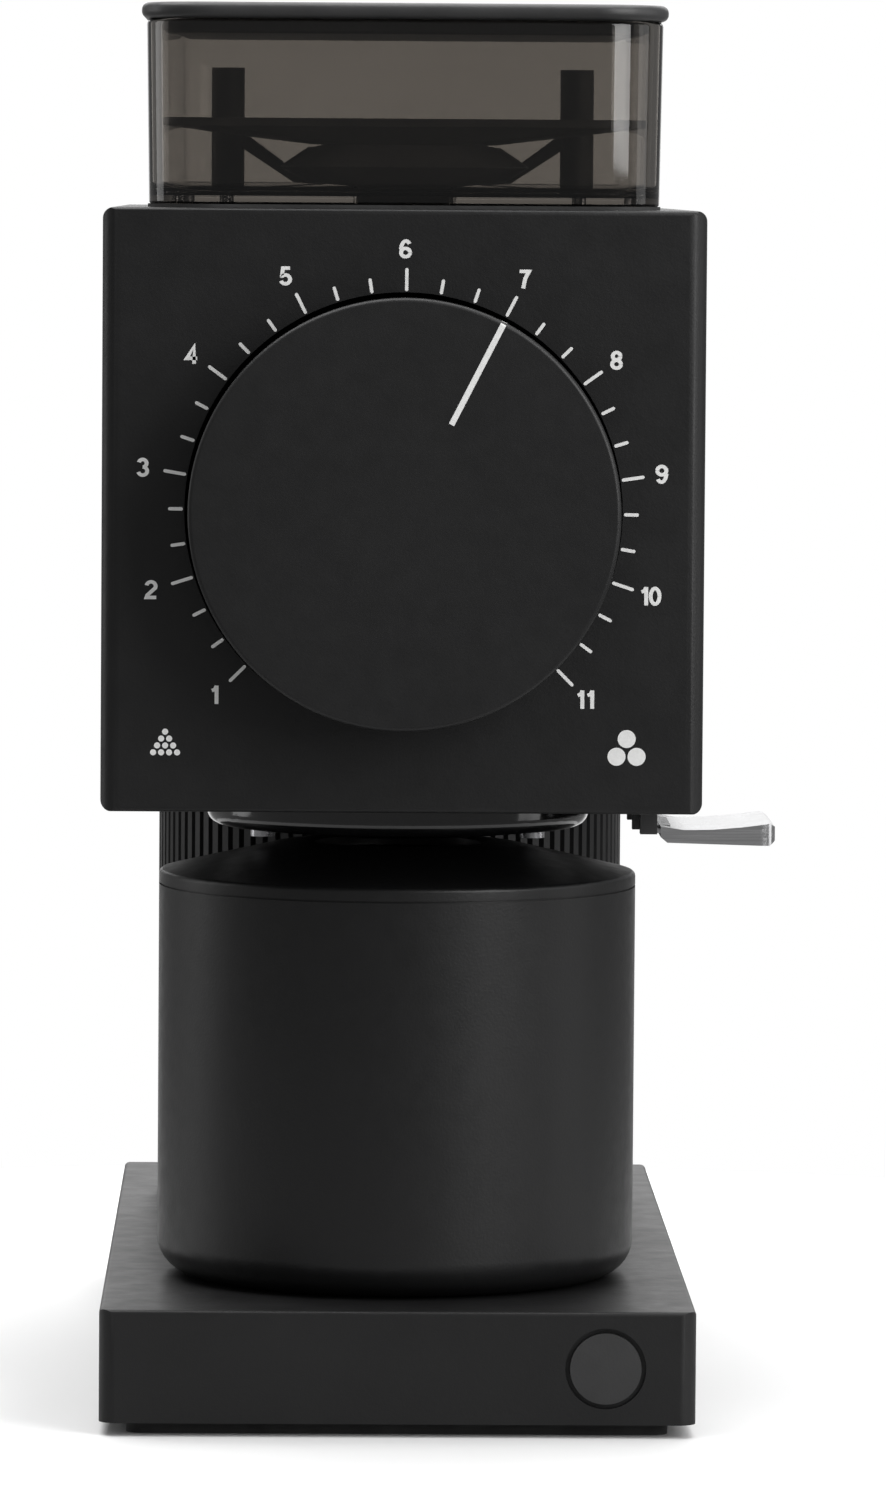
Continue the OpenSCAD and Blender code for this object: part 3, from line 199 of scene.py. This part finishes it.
class Look:
    """A Principled material with its node tree, built up by short calls. Sizes are in metres."""

    def __init__(self, name, color, roughness, **sockets):
        self.material = bpy.data.materials.new(name)
        self.material.use_nodes = True
        self.tree = self.material.node_tree
        self.shader = self.tree.nodes["Principled BSDF"]
        self.color = color
        self.shader.inputs["Base Color"].default_value = (*color, 1)
        self.shader.inputs["Roughness"].default_value = roughness
        for socket, value in sockets.items():
            self.shader.inputs[socket.replace("_", " ")].default_value = value
        self.place = self.tree.nodes.new("ShaderNodeTexCoord").outputs["Object"]
        self.normal = None

    def link(self, out, into):
        self.tree.links.new(out, into)

    def stretched(self, stretch):
        """Object coordinates, divided by stretch along each axis."""
        mapping = self.tree.nodes.new("ShaderNodeMapping")
        mapping.inputs["Scale"].default_value = [1 / s for s in stretch]
        self.link(self.place, mapping.inputs["Vector"])
        return mapping.outputs["Vector"]

    def noise(self, size, detail=2.0, stretch=(1, 1, 1)):
        texture = self.tree.nodes.new("ShaderNodeTexNoise")
        texture.inputs["Scale"].default_value = 1 / size
        texture.inputs["Detail"].default_value = detail
        self.link(self.stretched(stretch), texture.inputs["Vector"])
        return texture.outputs["Fac"]

    def cells(self, size):
        texture = self.tree.nodes.new("ShaderNodeTexVoronoi")
        texture.inputs["Scale"].default_value = 1 / size
        self.link(self.place, texture.inputs["Vector"])
        return texture.outputs["Distance"]

    def bands(self, size, direction, distortion=0.0, rings=False):
        texture = self.tree.nodes.new("ShaderNodeTexWave")
        texture.wave_type = "RINGS" if rings else "BANDS"
        if rings:
            texture.rings_direction = direction
        else:
            texture.bands_direction = direction
        texture.inputs["Scale"].default_value = 0.314 / size
        texture.inputs["Distortion"].default_value = distortion
        self.link(self.place, texture.inputs["Vector"])
        return texture.outputs["Fac"]

    def ring_mask(self, centre, inner, outer, front, back):
        """1 between two radii about an axis along Y and between two places along it, and 0 elsewhere."""
        mapping = self.tree.nodes.new("ShaderNodeMapping")
        mapping.inputs["Location"].default_value = (-centre.x, 0, -centre.z)
        mapping.inputs["Scale"].default_value = (1, 0, 1)
        self.link(self.place, mapping.inputs["Vector"])
        length = self.tree.nodes.new("ShaderNodeVectorMath")
        length.operation = "LENGTH"
        self.link(mapping.outputs["Vector"], length.inputs[0])
        radius = length.outputs["Value"]
        mask = self.multiply(self.step(radius, inner), self.step(radius, outer, 1, 0))
        depth = self.along("Y")
        return self.multiply(mask, self.multiply(self.step(depth, front), self.step(depth, back, 1, 0)))

    def along(self, axis):
        axes = self.tree.nodes.new("ShaderNodeSeparateXYZ")
        self.link(self.place, axes.inputs["Vector"])
        return axes.outputs[axis]

    def step(self, value, edge, low=0, high=1, fade=0.08 * MM):
        return self.between(value, low, high, edge - fade, edge + fade)

    def multiply(self, a, b):
        node = self.tree.nodes.new("ShaderNodeMath")
        node.operation = "MULTIPLY"
        self.link(a, node.inputs[0])
        self.link(b, node.inputs[1])
        return node.outputs["Value"]

    def override(self, mask, socket, goal):
        """Takes a shader socket to another value or colour in the masked places."""
        into = self.shader.inputs[socket]
        mix = self.tree.nodes.new("ShaderNodeMix")
        mix.data_type = "RGBA" if socket == "Base Color" else "FLOAT"
        before, after = [s for s in mix.inputs if s.type == into.type and s.name in "AB"]
        after.default_value = (*goal, 1) if socket == "Base Color" else goal
        if into.links:
            self.link(into.links[0].from_socket, before)
        else:
            before.default_value = into.default_value
        self.link(mask, mix.inputs["Factor"])
        self.link([s for s in mix.outputs if s.type == into.type][0], into)

    def matt_black(self, mask):
        """Paints shade: makes the masked places black, rough and without shine."""
        self.override(mask, "Base Color", (0.002, 0.002, 0.002))
        self.override(mask, "Roughness", 1.0)
        self.override(mask, "Specular IOR Level", 0.0)

    def between(self, value, low, high, from_low=0.3, from_high=0.7):
        """Maps a texture's middle range to low..high."""
        spread = self.tree.nodes.new("ShaderNodeMapRange")
        spread.inputs["From Min"].default_value = from_low
        spread.inputs["From Max"].default_value = from_high
        spread.inputs["To Min"].default_value = low
        spread.inputs["To Max"].default_value = high
        self.link(value, spread.inputs["Value"])
        return spread.outputs["Result"]

    def tint(self, value, light=1.25, dark=0.8, from_low=0.3, from_high=0.7):
        """Varies the colour from dark to light times its own value."""
        mix = self.tree.nodes.new("ShaderNodeMix")
        mix.data_type = "RGBA"
        color_sockets = [s for s in mix.inputs if s.type == "RGBA"]
        color_sockets[0].default_value = (*[dark * c for c in self.color], 1)
        color_sockets[1].default_value = (*[min(1, light * c) for c in self.color], 1)
        self.link(self.between(value, 0, 1, from_low, from_high), mix.inputs["Factor"])
        result = [s for s in mix.outputs if s.type == "RGBA"][0]
        self.link(result, self.shader.inputs["Base Color"])

    def roughen(self, value, low, high):
        self.link(self.between(value, low, high), self.shader.inputs["Roughness"])

    def bump(self, value, depth, strength=1.0):
        node = self.tree.nodes.new("ShaderNodeBump")
        node.inputs["Distance"].default_value = depth
        node.inputs["Strength"].default_value = strength
        self.link(value, node.inputs["Height"])
        if self.normal:
            self.link(self.normal, node.inputs["Normal"])
        self.normal = node.outputs["Normal"]
        self.link(self.normal, self.shader.inputs["Normal"])


def powder_coat():
    look = Look("powder_coat", (0.0075, 0.0075, 0.0078), 0.44, Specular_IOR_Level=0.42)
    look.tint(look.noise(26 * MM, 3), 1.18, 0.86)
    look.roughen(look.noise(5 * MM, 3), 0.42, 0.50)
    look.bump(look.noise(1.2 * MM, 1), 0.022 * MM)
    look.bump(look.noise(0.4 * MM, 2), 0.024 * MM)
    low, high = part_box("dial_knob")
    dial_r = (high.x - low.x) / 2
    centre = (low + high) / 2
    plate_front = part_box("front_plate")[0].y
    groove = (plate_front + 0.3 * MM, plate_front + 3.5 * MM)
    # painted shade: the groove around the dial is coloured black, rough and without shine to stand in for its
    # deep shadow
    look.matt_black(look.ring_mask(centre, dial_r - 2 * MM, dial_r + 0.7 * MM, *groove))
    return look


def dial_coat():
    look = Look("dial_coat", (0.0095, 0.0095, 0.0098), 0.43, Specular_IOR_Level=0.42)
    look.tint(look.noise(30 * MM, 3), 1.12, 0.9)
    look.roughen(look.noise(4 * MM, 3), 0.40, 0.47)
    look.bump(look.noise(1.1 * MM, 1), 0.018 * MM)
    look.bump(look.noise(0.36 * MM, 2), 0.020 * MM)
    return look


def cup_coat():
    look = Look("cup_coat", (0.007, 0.007, 0.0073), 0.40, Specular_IOR_Level=0.42)
    look.tint(look.noise(34 * MM, 2), 1.12, 0.9)
    look.roughen(look.noise(3 * MM, 3), 0.37, 0.44)
    look.bump(look.noise(0.5 * MM, 2), 0.024 * MM)
    return look


def white_inlay():
    look = Look("white_inlay", (0.93, 0.93, 0.92), 0.5)
    look.tint(look.noise(0.8 * MM, 2), 1.04, 0.96)
    look.bump(look.noise(0.3 * MM, 2), 0.006 * MM)
    return look


def rubber():
    look = Look("rubber", (0.03, 0.03, 0.03), 0.72)
    look.tint(look.noise(7 * MM, 3), 1.3, 0.8)
    look.roughen(look.noise(2 * MM, 3), 0.66, 0.8)
    look.bump(look.cells(0.7 * MM), 0.03 * MM)
    return look


def black_plastic():
    look = Look("black_plastic", (0.034, 0.034, 0.0345), 0.42)
    look.tint(look.noise(12 * MM, 3), 1.2, 0.85)
    look.roughen(look.noise(2.5 * MM, 2), 0.38, 0.47)
    look.bump(look.cells(0.55 * MM), 0.012 * MM)
    # painted light: the funnel and its posts, inside the hopper, are coloured a lighter grey to stand in for
    # the light that the clear walls keep from them
    foot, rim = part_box("hopper_shell")
    height = look.along("Z")
    inside = look.multiply(look.step(height, foot.z - 9 * MM), look.step(height, rim.z - 5 * MM, 1, 0))
    look.override(inside, "Base Color", (0.10, 0.098, 0.094))
    return look


def gloss_black():
    look = Look("gloss_black", (0.006, 0.006, 0.0065), 0.14, Coat_Weight=0.6, Coat_Roughness=0.05)
    look.tint(look.noise(15 * MM, 2), 1.2, 0.85)
    look.roughen(look.noise(3 * MM, 3), 0.11, 0.18)
    look.bump(look.noise(4 * MM, 1), 0.02 * MM)
    return look


def smoked_clear():
    look = Look("smoked_clear", (0.32, 0.30, 0.277), 0.02, Transmission_Weight=1.0, IOR=1.49)
    look.tint(look.noise(40 * MM, 1), 1.05, 0.95)
    look.roughen(look.noise(9 * MM, 3), 0.012, 0.035)
    look.bump(look.noise(22 * MM, 1), 0.03 * MM)
    # painted shade: the floor is tinted darker, so that seen edge on it looks as dark as two walls
    floor_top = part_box("hopper_shell")[0].z + HOPPER_FLOOR
    look.override(look.step(look.along("Z"), floor_top, 1, 0), "Base Color", (0.09, 0.08, 0.07))
    return look


def polished_steel():
    look = Look("polished_steel", (0.72, 0.72, 0.73), 0.16, Metallic=1.0)
    streaks = look.noise(0.5 * MM, 2, stretch=(40, 1, 1))
    look.tint(streaks, 1.1, 0.85)
    look.roughen(streaks, 0.12, 0.24)
    look.bump(streaks, 0.0004 * MM)
    look.bump(look.noise(9 * MM, 1), 0.02 * MM)
    return look


def bright_steel():
    look = Look("bright_steel", (0.62, 0.62, 0.64), 0.28, Metallic=1.0)
    look.tint(look.noise(2.5 * MM, 3), 1.12, 0.82)
    look.roughen(look.noise(1.2 * MM, 3), 0.2, 0.38)
    look.bump(look.noise(0.3 * MM, 2, stretch=(1, 6, 1)), 0.004 * MM)
    return look


def spring_steel():
    look = Look("spring_steel", (0.46, 0.46, 0.48), 0.34, Metallic=1.0)
    look.tint(look.noise(1.6 * MM, 3), 1.15, 0.75)
    look.roughen(look.noise(0.8 * MM, 3), 0.28, 0.45)
    return look


def dark_steel():
    look = Look("dark_steel", (0.17, 0.17, 0.18), 0.4, Metallic=1.0)
    look.tint(look.noise(9 * MM, 4), 1.3, 0.7)
    look.roughen(look.noise(3 * MM, 3), 0.32, 0.5)
    look.bump(look.noise(0.6 * MM, 2), 0.008 * MM)
    return look


def lamination_steel():
    look = Look("lamination_steel", (0.3, 0.3, 0.32), 0.42, Metallic=1.0)
    sheets = look.bands(0.5 * MM, "Y", 0.4)
    look.tint(sheets, 1.2, 0.6)
    look.bump(sheets, 0.08 * MM)
    return look


def cast_aluminium():
    look = Look("cast_aluminium", (0.58, 0.59, 0.6), 0.46, Metallic=1.0)
    look.tint(look.noise(8 * MM, 4), 1.12, 0.82)
    look.roughen(look.noise(2 * MM, 3), 0.38, 0.58)
    look.bump(look.noise(0.9 * MM, 3), 0.05 * MM)
    return look


def machined_steel():
    look = Look("machined_steel", (0.5, 0.5, 0.52), 0.3, Metallic=1.0)
    turned = look.bands(0.25 * MM, "Y", 0.6, rings=True)
    look.tint(look.noise(6 * MM, 3), 1.12, 0.85)
    look.roughen(turned, 0.24, 0.38)
    look.bump(turned, 0.006 * MM)
    return look


def burr_steel():
    look = Look("burr_steel", (0.66, 0.66, 0.67), 0.26, Metallic=1.0)
    ground = look.noise(0.35 * MM, 2, stretch=(1, 1, 14))
    look.tint(ground, 1.1, 0.84)
    look.roughen(ground, 0.2, 0.36)
    look.bump(ground, 0.006 * MM)
    return look


def copper_winding():
    look = Look("copper_winding", (0.62, 0.24, 0.09), 0.3, Metallic=1.0, Coat_Weight=0.5)
    turns = look.bands(0.6 * MM, "Y", 1.2, rings=True)
    look.tint(turns, 1.2, 0.5)
    look.bump(turns, 0.15 * MM)
    return look


def circuit_board():
    look = Look("circuit_board", (0.015, 0.12, 0.05), 0.3, Coat_Weight=0.4)
    tracks = look.bands(1.6 * MM, "X", 4.0)
    look.tint(tracks, 1.8, 0.7)
    look.bump(tracks, 0.03 * MM)
    return look


LOOKS = {
    make.__name__: make().material
    for make in (
        powder_coat, dial_coat, cup_coat, white_inlay, rubber, black_plastic, gloss_black,
        smoked_clear, polished_steel, bright_steel, spring_steel, dark_steel,
        lamination_steel, cast_aluminium, machined_steel, burr_steel, copper_winding,
        circuit_board,
    )
}


def dress_cad_nodes():
    """Gives each CAD node its look, one joined skin, and smooth shading between near faces."""
    for part in RECORD["subparts"]:
        obj = NODES[part["node"]]
        obj.data.materials.clear()
        obj.data.materials.append(LOOKS[part["material_slot"]])
        obj.data.polygons.foreach_set("use_smooth", [True] * len(obj.data.polygons))
        weld = obj.modifiers.new("weld", "WELD")
        weld.merge_threshold = 2e-6
        split = obj.modifiers.new("sharp edges", "EDGE_SPLIT")
        split.split_angle = math.radians(32)
        obj.modifiers.new("even shading", "WEIGHTED_NORMAL").keep_sharp = True


def soften(node, width, segments=3):
    """Rounds a CAD node's sharp edges."""
    obj = NODES[node]
    obj.modifiers.remove(obj.modifiers["sharp edges"])
    obj.modifiers.remove(obj.modifiers["even shading"])
    bevel = obj.modifiers.new("soft edges", "BEVEL")
    bevel.width = width
    bevel.segments = segments
    bevel.limit_method = "ANGLE"
    bevel.angle_limit = math.radians(32)
    obj.modifiers.new("even shading", "WEIGHTED_NORMAL").keep_sharp = True


# ---------- pieces ----------

def add_piece(obj, slot, body, *replaced):
    """Dresses a visual piece, ties it to its body and hides the CAD nodes it stands for."""
    obj.data.materials.append(LOOKS[slot])
    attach(obj, body)
    if replaced:
        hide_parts(*replaced)


def hopper_walls():
    """The clear shell: outer wall, rounded rim, inner wall with a soft foot, and the bean slot."""
    low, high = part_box("hopper_shell")
    centre = ((low.x + high.x) / 2, (low.y + high.y) / 2)
    rim_w = high.x - low.x
    rim_l = high.y - low.y
    rim_round = HOPPER_WALL / 2 - 0.2 * MM
    foot_round = 2.4 * MM
    edge_round = 0.5 * MM

    def wall_ring(inset, z):
        share = (z - low.z) / (high.z - low.z)
        grow = HOPPER_FLARE * (share - 1) - 2 * inset
        corner = max(HOPPER_CORNER + grow / 2 + HOPPER_FLARE / 2, 2 * MM)
        return plan_ring(rim_w + grow, rim_l + grow, corner, z, centre)

    slot_centre = (centre[0], centre[1] - SLOT_FORWARD)
    floor_z = low.z + HOPPER_FLOOR
    rings = [plan_ring(SLOT_W, SLOT_L, SLOT_CORNER, z, slot_centre) for z in (floor_z, low.z)]
    for s, c in quarter(3):
        rings.append(wall_ring(edge_round * (1 - s), low.z + edge_round * c))
    for s, c in quarter(4):
        rings.append(wall_ring(rim_round * c, high.z - rim_round * (1 - s)))
    for s, c in list(quarter(4))[::-1]:
        rings.append(wall_ring(HOPPER_WALL - rim_round * c, high.z - rim_round * (1 - s)))
    for s, c in quarter(5):
        rings.append(wall_ring(HOPPER_WALL + foot_round * c, floor_z + foot_round * (1 - s)))
    shell = loft("hopper_walls", rings, closed=True)
    add_piece(shell, "smoked_clear", "frame", "hopper_shell")


def soft_lid():
    """The lid: rounded edges all round, with the plug that fits inside the hopper's rim."""
    low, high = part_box("hopper_lid")
    centre = ((low.x + high.x) / 2, (low.y + high.y) / 2)
    width = high.x - low.x
    length = high.y - low.y
    corner = HOPPER_CORNER + (width - (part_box("hopper_shell")[1].x * 2)) / 2 + HOPPER_FLARE / 2
    plate_z = low.z + LID_PLUG_DEPTH
    gasket_low, gasket_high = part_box("lid_gasket")
    plug_inset = (width - (gasket_high.x - gasket_low.x)) / 2 + 0.6 * MM

    def ring(inset, z):
        rounded = corner - min(inset, corner - MM)
        return plan_ring(width - 2 * inset, length - 2 * inset, rounded, z, centre)

    rings = [ring(plug_inset + PLUG_EDGE, low.z)]
    rings += [ring(plug_inset + PLUG_EDGE * (1 - s), low.z + PLUG_EDGE * c) for s, c in quarter(4)]
    rings.append(ring(plug_inset, plate_z))
    rings += [ring(LID_EDGE * (1 - s), plate_z + LID_EDGE * c) for s, c in quarter(6)]
    rings += [ring(LID_EDGE * c, high.z - LID_EDGE * (1 - s)) for s, c in quarter(6)]
    lid = loft("lid_plate", rings)
    add_piece(lid, "black_plastic", "lid", "hopper_lid")


# The dial's scale is painted on the front plate, seen from the front with +X right and +Z up.

def plate_centre():
    low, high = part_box("front_plate")
    return Vector(((low.x + high.x) / 2, low.y, (low.z + high.z) / 2))


def painted(points, centre):
    """A thin raised patch of paint on the plate: its front face and its rim."""
    count = len(points)
    front = [(centre.x + x, centre.y - PAINT_T, centre.z + z) for x, z in points]
    back = [(centre.x + x, centre.y, centre.z + z) for x, z in points]
    sides = [(i, (i + 1) % count, count + (i + 1) % count, count + i) for i in range(count)]
    return front + back, [tuple(reversed(range(count))), tuple(range(count, 2 * count)), *sides]


def tick_points(angle, length):
    """A radial bar with rounded ends, at an angle clockwise from the top."""
    half = TICK_W / 2
    along = length / 2 - half
    points = []
    for end in (1, -1):
        for step in range(7):
            a = math.radians(90 * (1 - end) + 30 * step)
            points.append((half * math.cos(a), end * along + half * math.sin(a)))
    turned = Matrix.Rotation(-angle, 2)
    place = Vector((math.sin(angle), math.cos(angle))) * (TICK_INNER_R + length / 2)
    return [tuple(turned @ Vector(p) + place) for p in points]


def disc_points(x, z, radius, steps=28):
    angles = [2 * math.pi * i / steps for i in range(steps)]
    return [(x + radius * math.cos(a), z + radius * math.sin(a)) for a in angles]


def scale_angle(setting):
    return math.radians((setting - TOP_SETTING) * SETTING_STEP + SCALE_TURN)


def scale_ticks():
    centre = plate_centre()
    pieces = []
    for i in range((SETTINGS - 1) * TICKS_PER_SETTING + 1):
        angle = scale_angle(i / TICKS_PER_SETTING + 1)
        length = SHORT_TICK if i % TICKS_PER_SETTING else LONG_TICK
        pieces.append(painted(tick_points(angle, length), centre))
    add_piece(joined("scale_ticks", pieces), "white_inlay", "frame")


def arc(x, y, rx, ry, start, end, steps=18):
    """Points of an elliptical arc between two angles in degrees, anticlockwise if end is more than start."""
    angles = [math.radians(start + (end - start) * i / steps) for i in range(steps + 1)]
    return [(x + rx * math.cos(a), y + ry * math.sin(a)) for a in angles]


def digit_strokes():
    """Centre lines of plain sans-serif digits, one unit high."""
    six = [arc(0.285, 0.3, 0.22, 0.225, 0, 360), arc(0.3, 0.46, 0.235, 0.465, 180, 42)]
    return {
        "0": [arc(0.28, 0.5, 0.215, 0.425, 0, 360)],
        "1": [[(0.1, 0.73), (0.24, 0.78), (0.33, 0.98)], [(0.33, 0), (0.33, 1)]],
        "2": [arc(0.28, 0.69, 0.22, 0.235, 170, -25) + [(0.1, 0.2), (0.06, 0.075), (0.53, 0.075)]],
        "3": [arc(0.27, 0.72, 0.19, 0.205, 165, -90), arc(0.27, 0.3, 0.215, 0.225, 90, -165)],
        "4": [[(0.42, 0), (0.42, 0.95), (0.06, 0.29), (0.57, 0.29)]],
        "5": [[(0.49, 0.925), (0.15, 0.925), (0.1, 0.5)] + arc(0.27, 0.315, 0.225, 0.24, 130, -160)],
        "6": six,
        "7": [[(0.04, 0.925), (0.5, 0.925), (0.32, 0.55), (0.22, 0)]],
        "8": [arc(0.28, 0.725, 0.185, 0.2, 0, 360), arc(0.28, 0.29, 0.215, 0.215, 0, 360)],
        "9": [[(0.57 - x, 1 - y) for x, y in stroke] for stroke in six],
    }


def ribbon(points, half_w, depth, place):
    """A flat painted stroke along points in the plate's plane. place maps (x, z, depth) into the frame."""
    count = len(points)
    verts = []
    for i, point in enumerate(points):
        before = Vector(points[max(i - 1, 0)])
        after = Vector(points[min(i + 1, count - 1)])
        here = Vector(point)
        into = (here - before).normalized() if i else (after - here).normalized()
        out = (after - here).normalized() if i < count - 1 else into
        across = (into + out).normalized()
        side = Vector((-across.y, across.x)) * half_w / max(across.dot(into), 0.5)
        for d in (depth, 0):
            for sign in (1, -1):
                edge = here + sign * side
                verts.append(place(edge.x, edge.y, d))
    faces = [(0, 1, 3, 2), tuple(4 * (count - 1) + k for k in (2, 3, 1, 0))]
    for i in range(count - 1):
        a, b = 4 * i, 4 * i + 4
        faces += [(a, b, b + 1, a + 1), (a + 2, a + 3, b + 3, b + 2)]
        faces += [(a, a + 2, b + 2, b), (a + 1, b + 1, b + 3, a + 3)]
    return verts, faces


def scale_numbers():
    """The numbers 1 to 11, upright, around the dial."""
    centre = plate_centre()
    strokes = digit_strokes()
    advance = {digit: 0.48 if digit == "1" else 0.64 for digit in strokes}
    pieces = []
    for setting in range(1, SETTINGS + 1):
        angle = scale_angle(setting)
        middle = centre + Vector((math.sin(angle), 0, math.cos(angle))) * NUMBER_R
        middle.x += NUMBER_SHIFT
        text = str(setting)
        left = -sum(advance[digit] for digit in text) / 2 + 0.04
        for digit in text:
            def place(x, z, depth, left=left):
                across = (x + left) * NUMBER_H * NUMBER_WIDEN
                return middle + Vector((across, -depth, (z - 0.5) * NUMBER_H))
            for k, stroke in enumerate(strokes[digit]):
                pieces.append(ribbon(stroke, NUMBER_STROKE / 2, PAINT_T * (1 + 0.1 * k), place))
            left += advance[digit]
    add_piece(joined("scale_numbers", pieces), "white_inlay", "frame")


def grind_marks():
    """A heap of ten small dots for fine at the lower left, and three large dots for coarse."""
    centre = plate_centre()
    fine = []
    for row in range(FINE_ROWS):
        for i in range(row + 1):
            x = FINE_TOP[0] + FINE_ACROSS * (i - row / 2)
            z = FINE_TOP[1] - FINE_DOWN * row
            fine.append(painted(disc_points(x, z, FINE_R, 20), centre))
    add_piece(joined("fine_mark", fine), "white_inlay", "frame")
    coarse = []
    for aside, down in ((0, 0), (-COARSE_ASIDE, COARSE_DOWN), (COARSE_ASIDE, COARSE_DOWN)):
        points = disc_points(COARSE_TOP[0] + aside, COARSE_TOP[1] - down, COARSE_R)
        coarse.append(painted(points, centre))
    add_piece(joined("coarse_mark", coarse), "white_inlay", "frame")


# ---------- stage ----------

def floor(radius=0.3, bounce=0.38):
    """A round pale table top under the object, which throws little light back up."""
    steps = 96
    angles = [2 * math.pi * i / steps for i in range(steps)]
    mesh = bpy.data.meshes.new("floor")
    ring = [(radius * math.cos(a), radius * math.sin(a), 0) for a in angles]
    mesh.from_pydata(ring, [], [tuple(range(steps))])
    obj = bpy.data.objects.new("floor", mesh)
    bpy.context.scene.collection.objects.link(obj)
    look = Look("pale_floor", (0.86, 0.86, 0.86), 0.9)
    look.tint(look.noise(300 * MM, 2), 1.01, 0.99)
    path = look.tree.nodes.new("ShaderNodeLightPath")
    mix = look.tree.nodes.new("ShaderNodeMix")
    mix.data_type = "RGBA"
    dim, pale = [socket for socket in mix.inputs if socket.type == "RGBA"]
    dim.default_value = (bounce, bounce, bounce, 1)
    look.link(look.shader.inputs["Base Color"].links[0].from_socket, pale)
    look.link(path.outputs["Is Camera Ray"], mix.inputs["Factor"])
    mixed = [socket for socket in mix.outputs if socket.type == "RGBA"][0]
    look.link(mixed, look.shader.inputs["Base Color"])
    obj.data.materials.append(look.material)
    obj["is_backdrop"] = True


def soft_box(name, place, target, width, height, radiance):
    """A rectangular studio light that faces its target."""
    light = bpy.data.lights.new(name, "AREA")
    light.shape = "RECTANGLE"
    light.size = width
    light.size_y = height
    light.energy = radiance * math.pi * width * height
    obj = bpy.data.objects.new(name, light)
    obj.location = place
    obj.rotation_euler = (Vector(target) - Vector(place)).to_track_quat("-Z", "Y").to_euler()
    bpy.context.scene.collection.objects.link(obj)


def studio_world(front=0.27, back=1.2):
    """A white surround to the camera. It lights the object brightly from behind and faintly from in front."""
    world = bpy.data.worlds.new("studio")
    bpy.context.scene.world = world
    world.use_nodes = True
    tree = world.node_tree
    tree.nodes.clear()
    place = tree.nodes.new("ShaderNodeTexCoord")
    axes = tree.nodes.new("ShaderNodeSeparateXYZ")
    tree.links.new(place.outputs["Generated"], axes.inputs["Vector"])
    spread = tree.nodes.new("ShaderNodeMapRange")
    spread.interpolation_type = "SMOOTHSTEP"
    spread.inputs["From Min"].default_value = 0.9
    spread.inputs["From Max"].default_value = 0.99
    spread.inputs["To Min"].default_value = front
    spread.inputs["To Max"].default_value = back
    tree.links.new(axes.outputs["Y"], spread.inputs["Value"])
    lit = tree.nodes.new("ShaderNodeBackground")
    tree.links.new(spread.outputs["Result"], lit.inputs["Strength"])
    seen = tree.nodes.new("ShaderNodeBackground")
    seen.inputs["Color"].default_value = (1, 1, 1, 1)
    seen.inputs["Strength"].default_value = 1.0
    path = tree.nodes.new("ShaderNodeLightPath")
    mix = tree.nodes.new("ShaderNodeMixShader")
    tree.links.new(path.outputs["Is Camera Ray"], mix.inputs["Fac"])
    tree.links.new(lit.outputs["Background"], mix.inputs[1])
    tree.links.new(seen.outputs["Background"], mix.inputs[2])
    out = tree.nodes.new("ShaderNodeOutputWorld")
    tree.links.new(mix.outputs["Shader"], out.inputs["Surface"])


def lights():
    middle = (0, 0, 0.13)
    soft_box("overhead", (-0.1, 0.25, 1.7), middle, 2.2, 2.2, 3.6)
    soft_box("right_front", (0.75, -0.78, 0.6), middle, 0.6, 0.9, 5.2)
    soft_box("right_side", (1.2, -0.1, 0.4), middle, 0.5, 0.9, 1.1)
    soft_box("high_back", (0.1, 1.7, 1.0), middle, 1.8, 0.9, 1.6)
    soft_box("left_side", (-1.3, 0.4, 0.4), middle, 0.5, 0.9, 1.4)
    studio_world()
    bpy.context.scene.view_settings.view_transform = "Standard"


def camera():
    yaw, pitch, roll = CAMERA_YAW, CAMERA_PITCH, CAMERA_ROLL
    ahead = Vector((math.sin(yaw) * math.cos(pitch), math.cos(yaw) * math.cos(pitch), -math.sin(pitch)))
    level = Vector((math.cos(yaw), -math.sin(yaw), 0))
    above = level.cross(ahead)
    right = level * math.cos(roll) + above * math.sin(roll)
    up = above * math.cos(roll) - level * math.sin(roll)
    turn = Matrix((right, up, -ahead)).transposed()
    data = bpy.data.cameras.new("camera")
    data.lens = CAMERA_LENS
    data.sensor_width = SENSOR
    data.sensor_fit = "AUTO"
    data.clip_end = 60
    obj = bpy.data.objects.new("camera", data)
    obj.matrix_world = Matrix.Translation(CAMERA_PLACE) @ turn.to_4x4()
    bpy.context.scene.collection.objects.link(obj)
    bpy.context.scene.camera = obj


camera()
dress_cad_nodes()
soften("knocker_lever", 0.45 * MM)
hopper_walls()
soft_lid()
scale_ticks()
scale_numbers()
grind_marks()
floor()
lights()

boxes = {"cad": cad_bounds, "visual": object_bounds()}
{name: [list(corner) for corner in box] for name, box in boxes.items()}
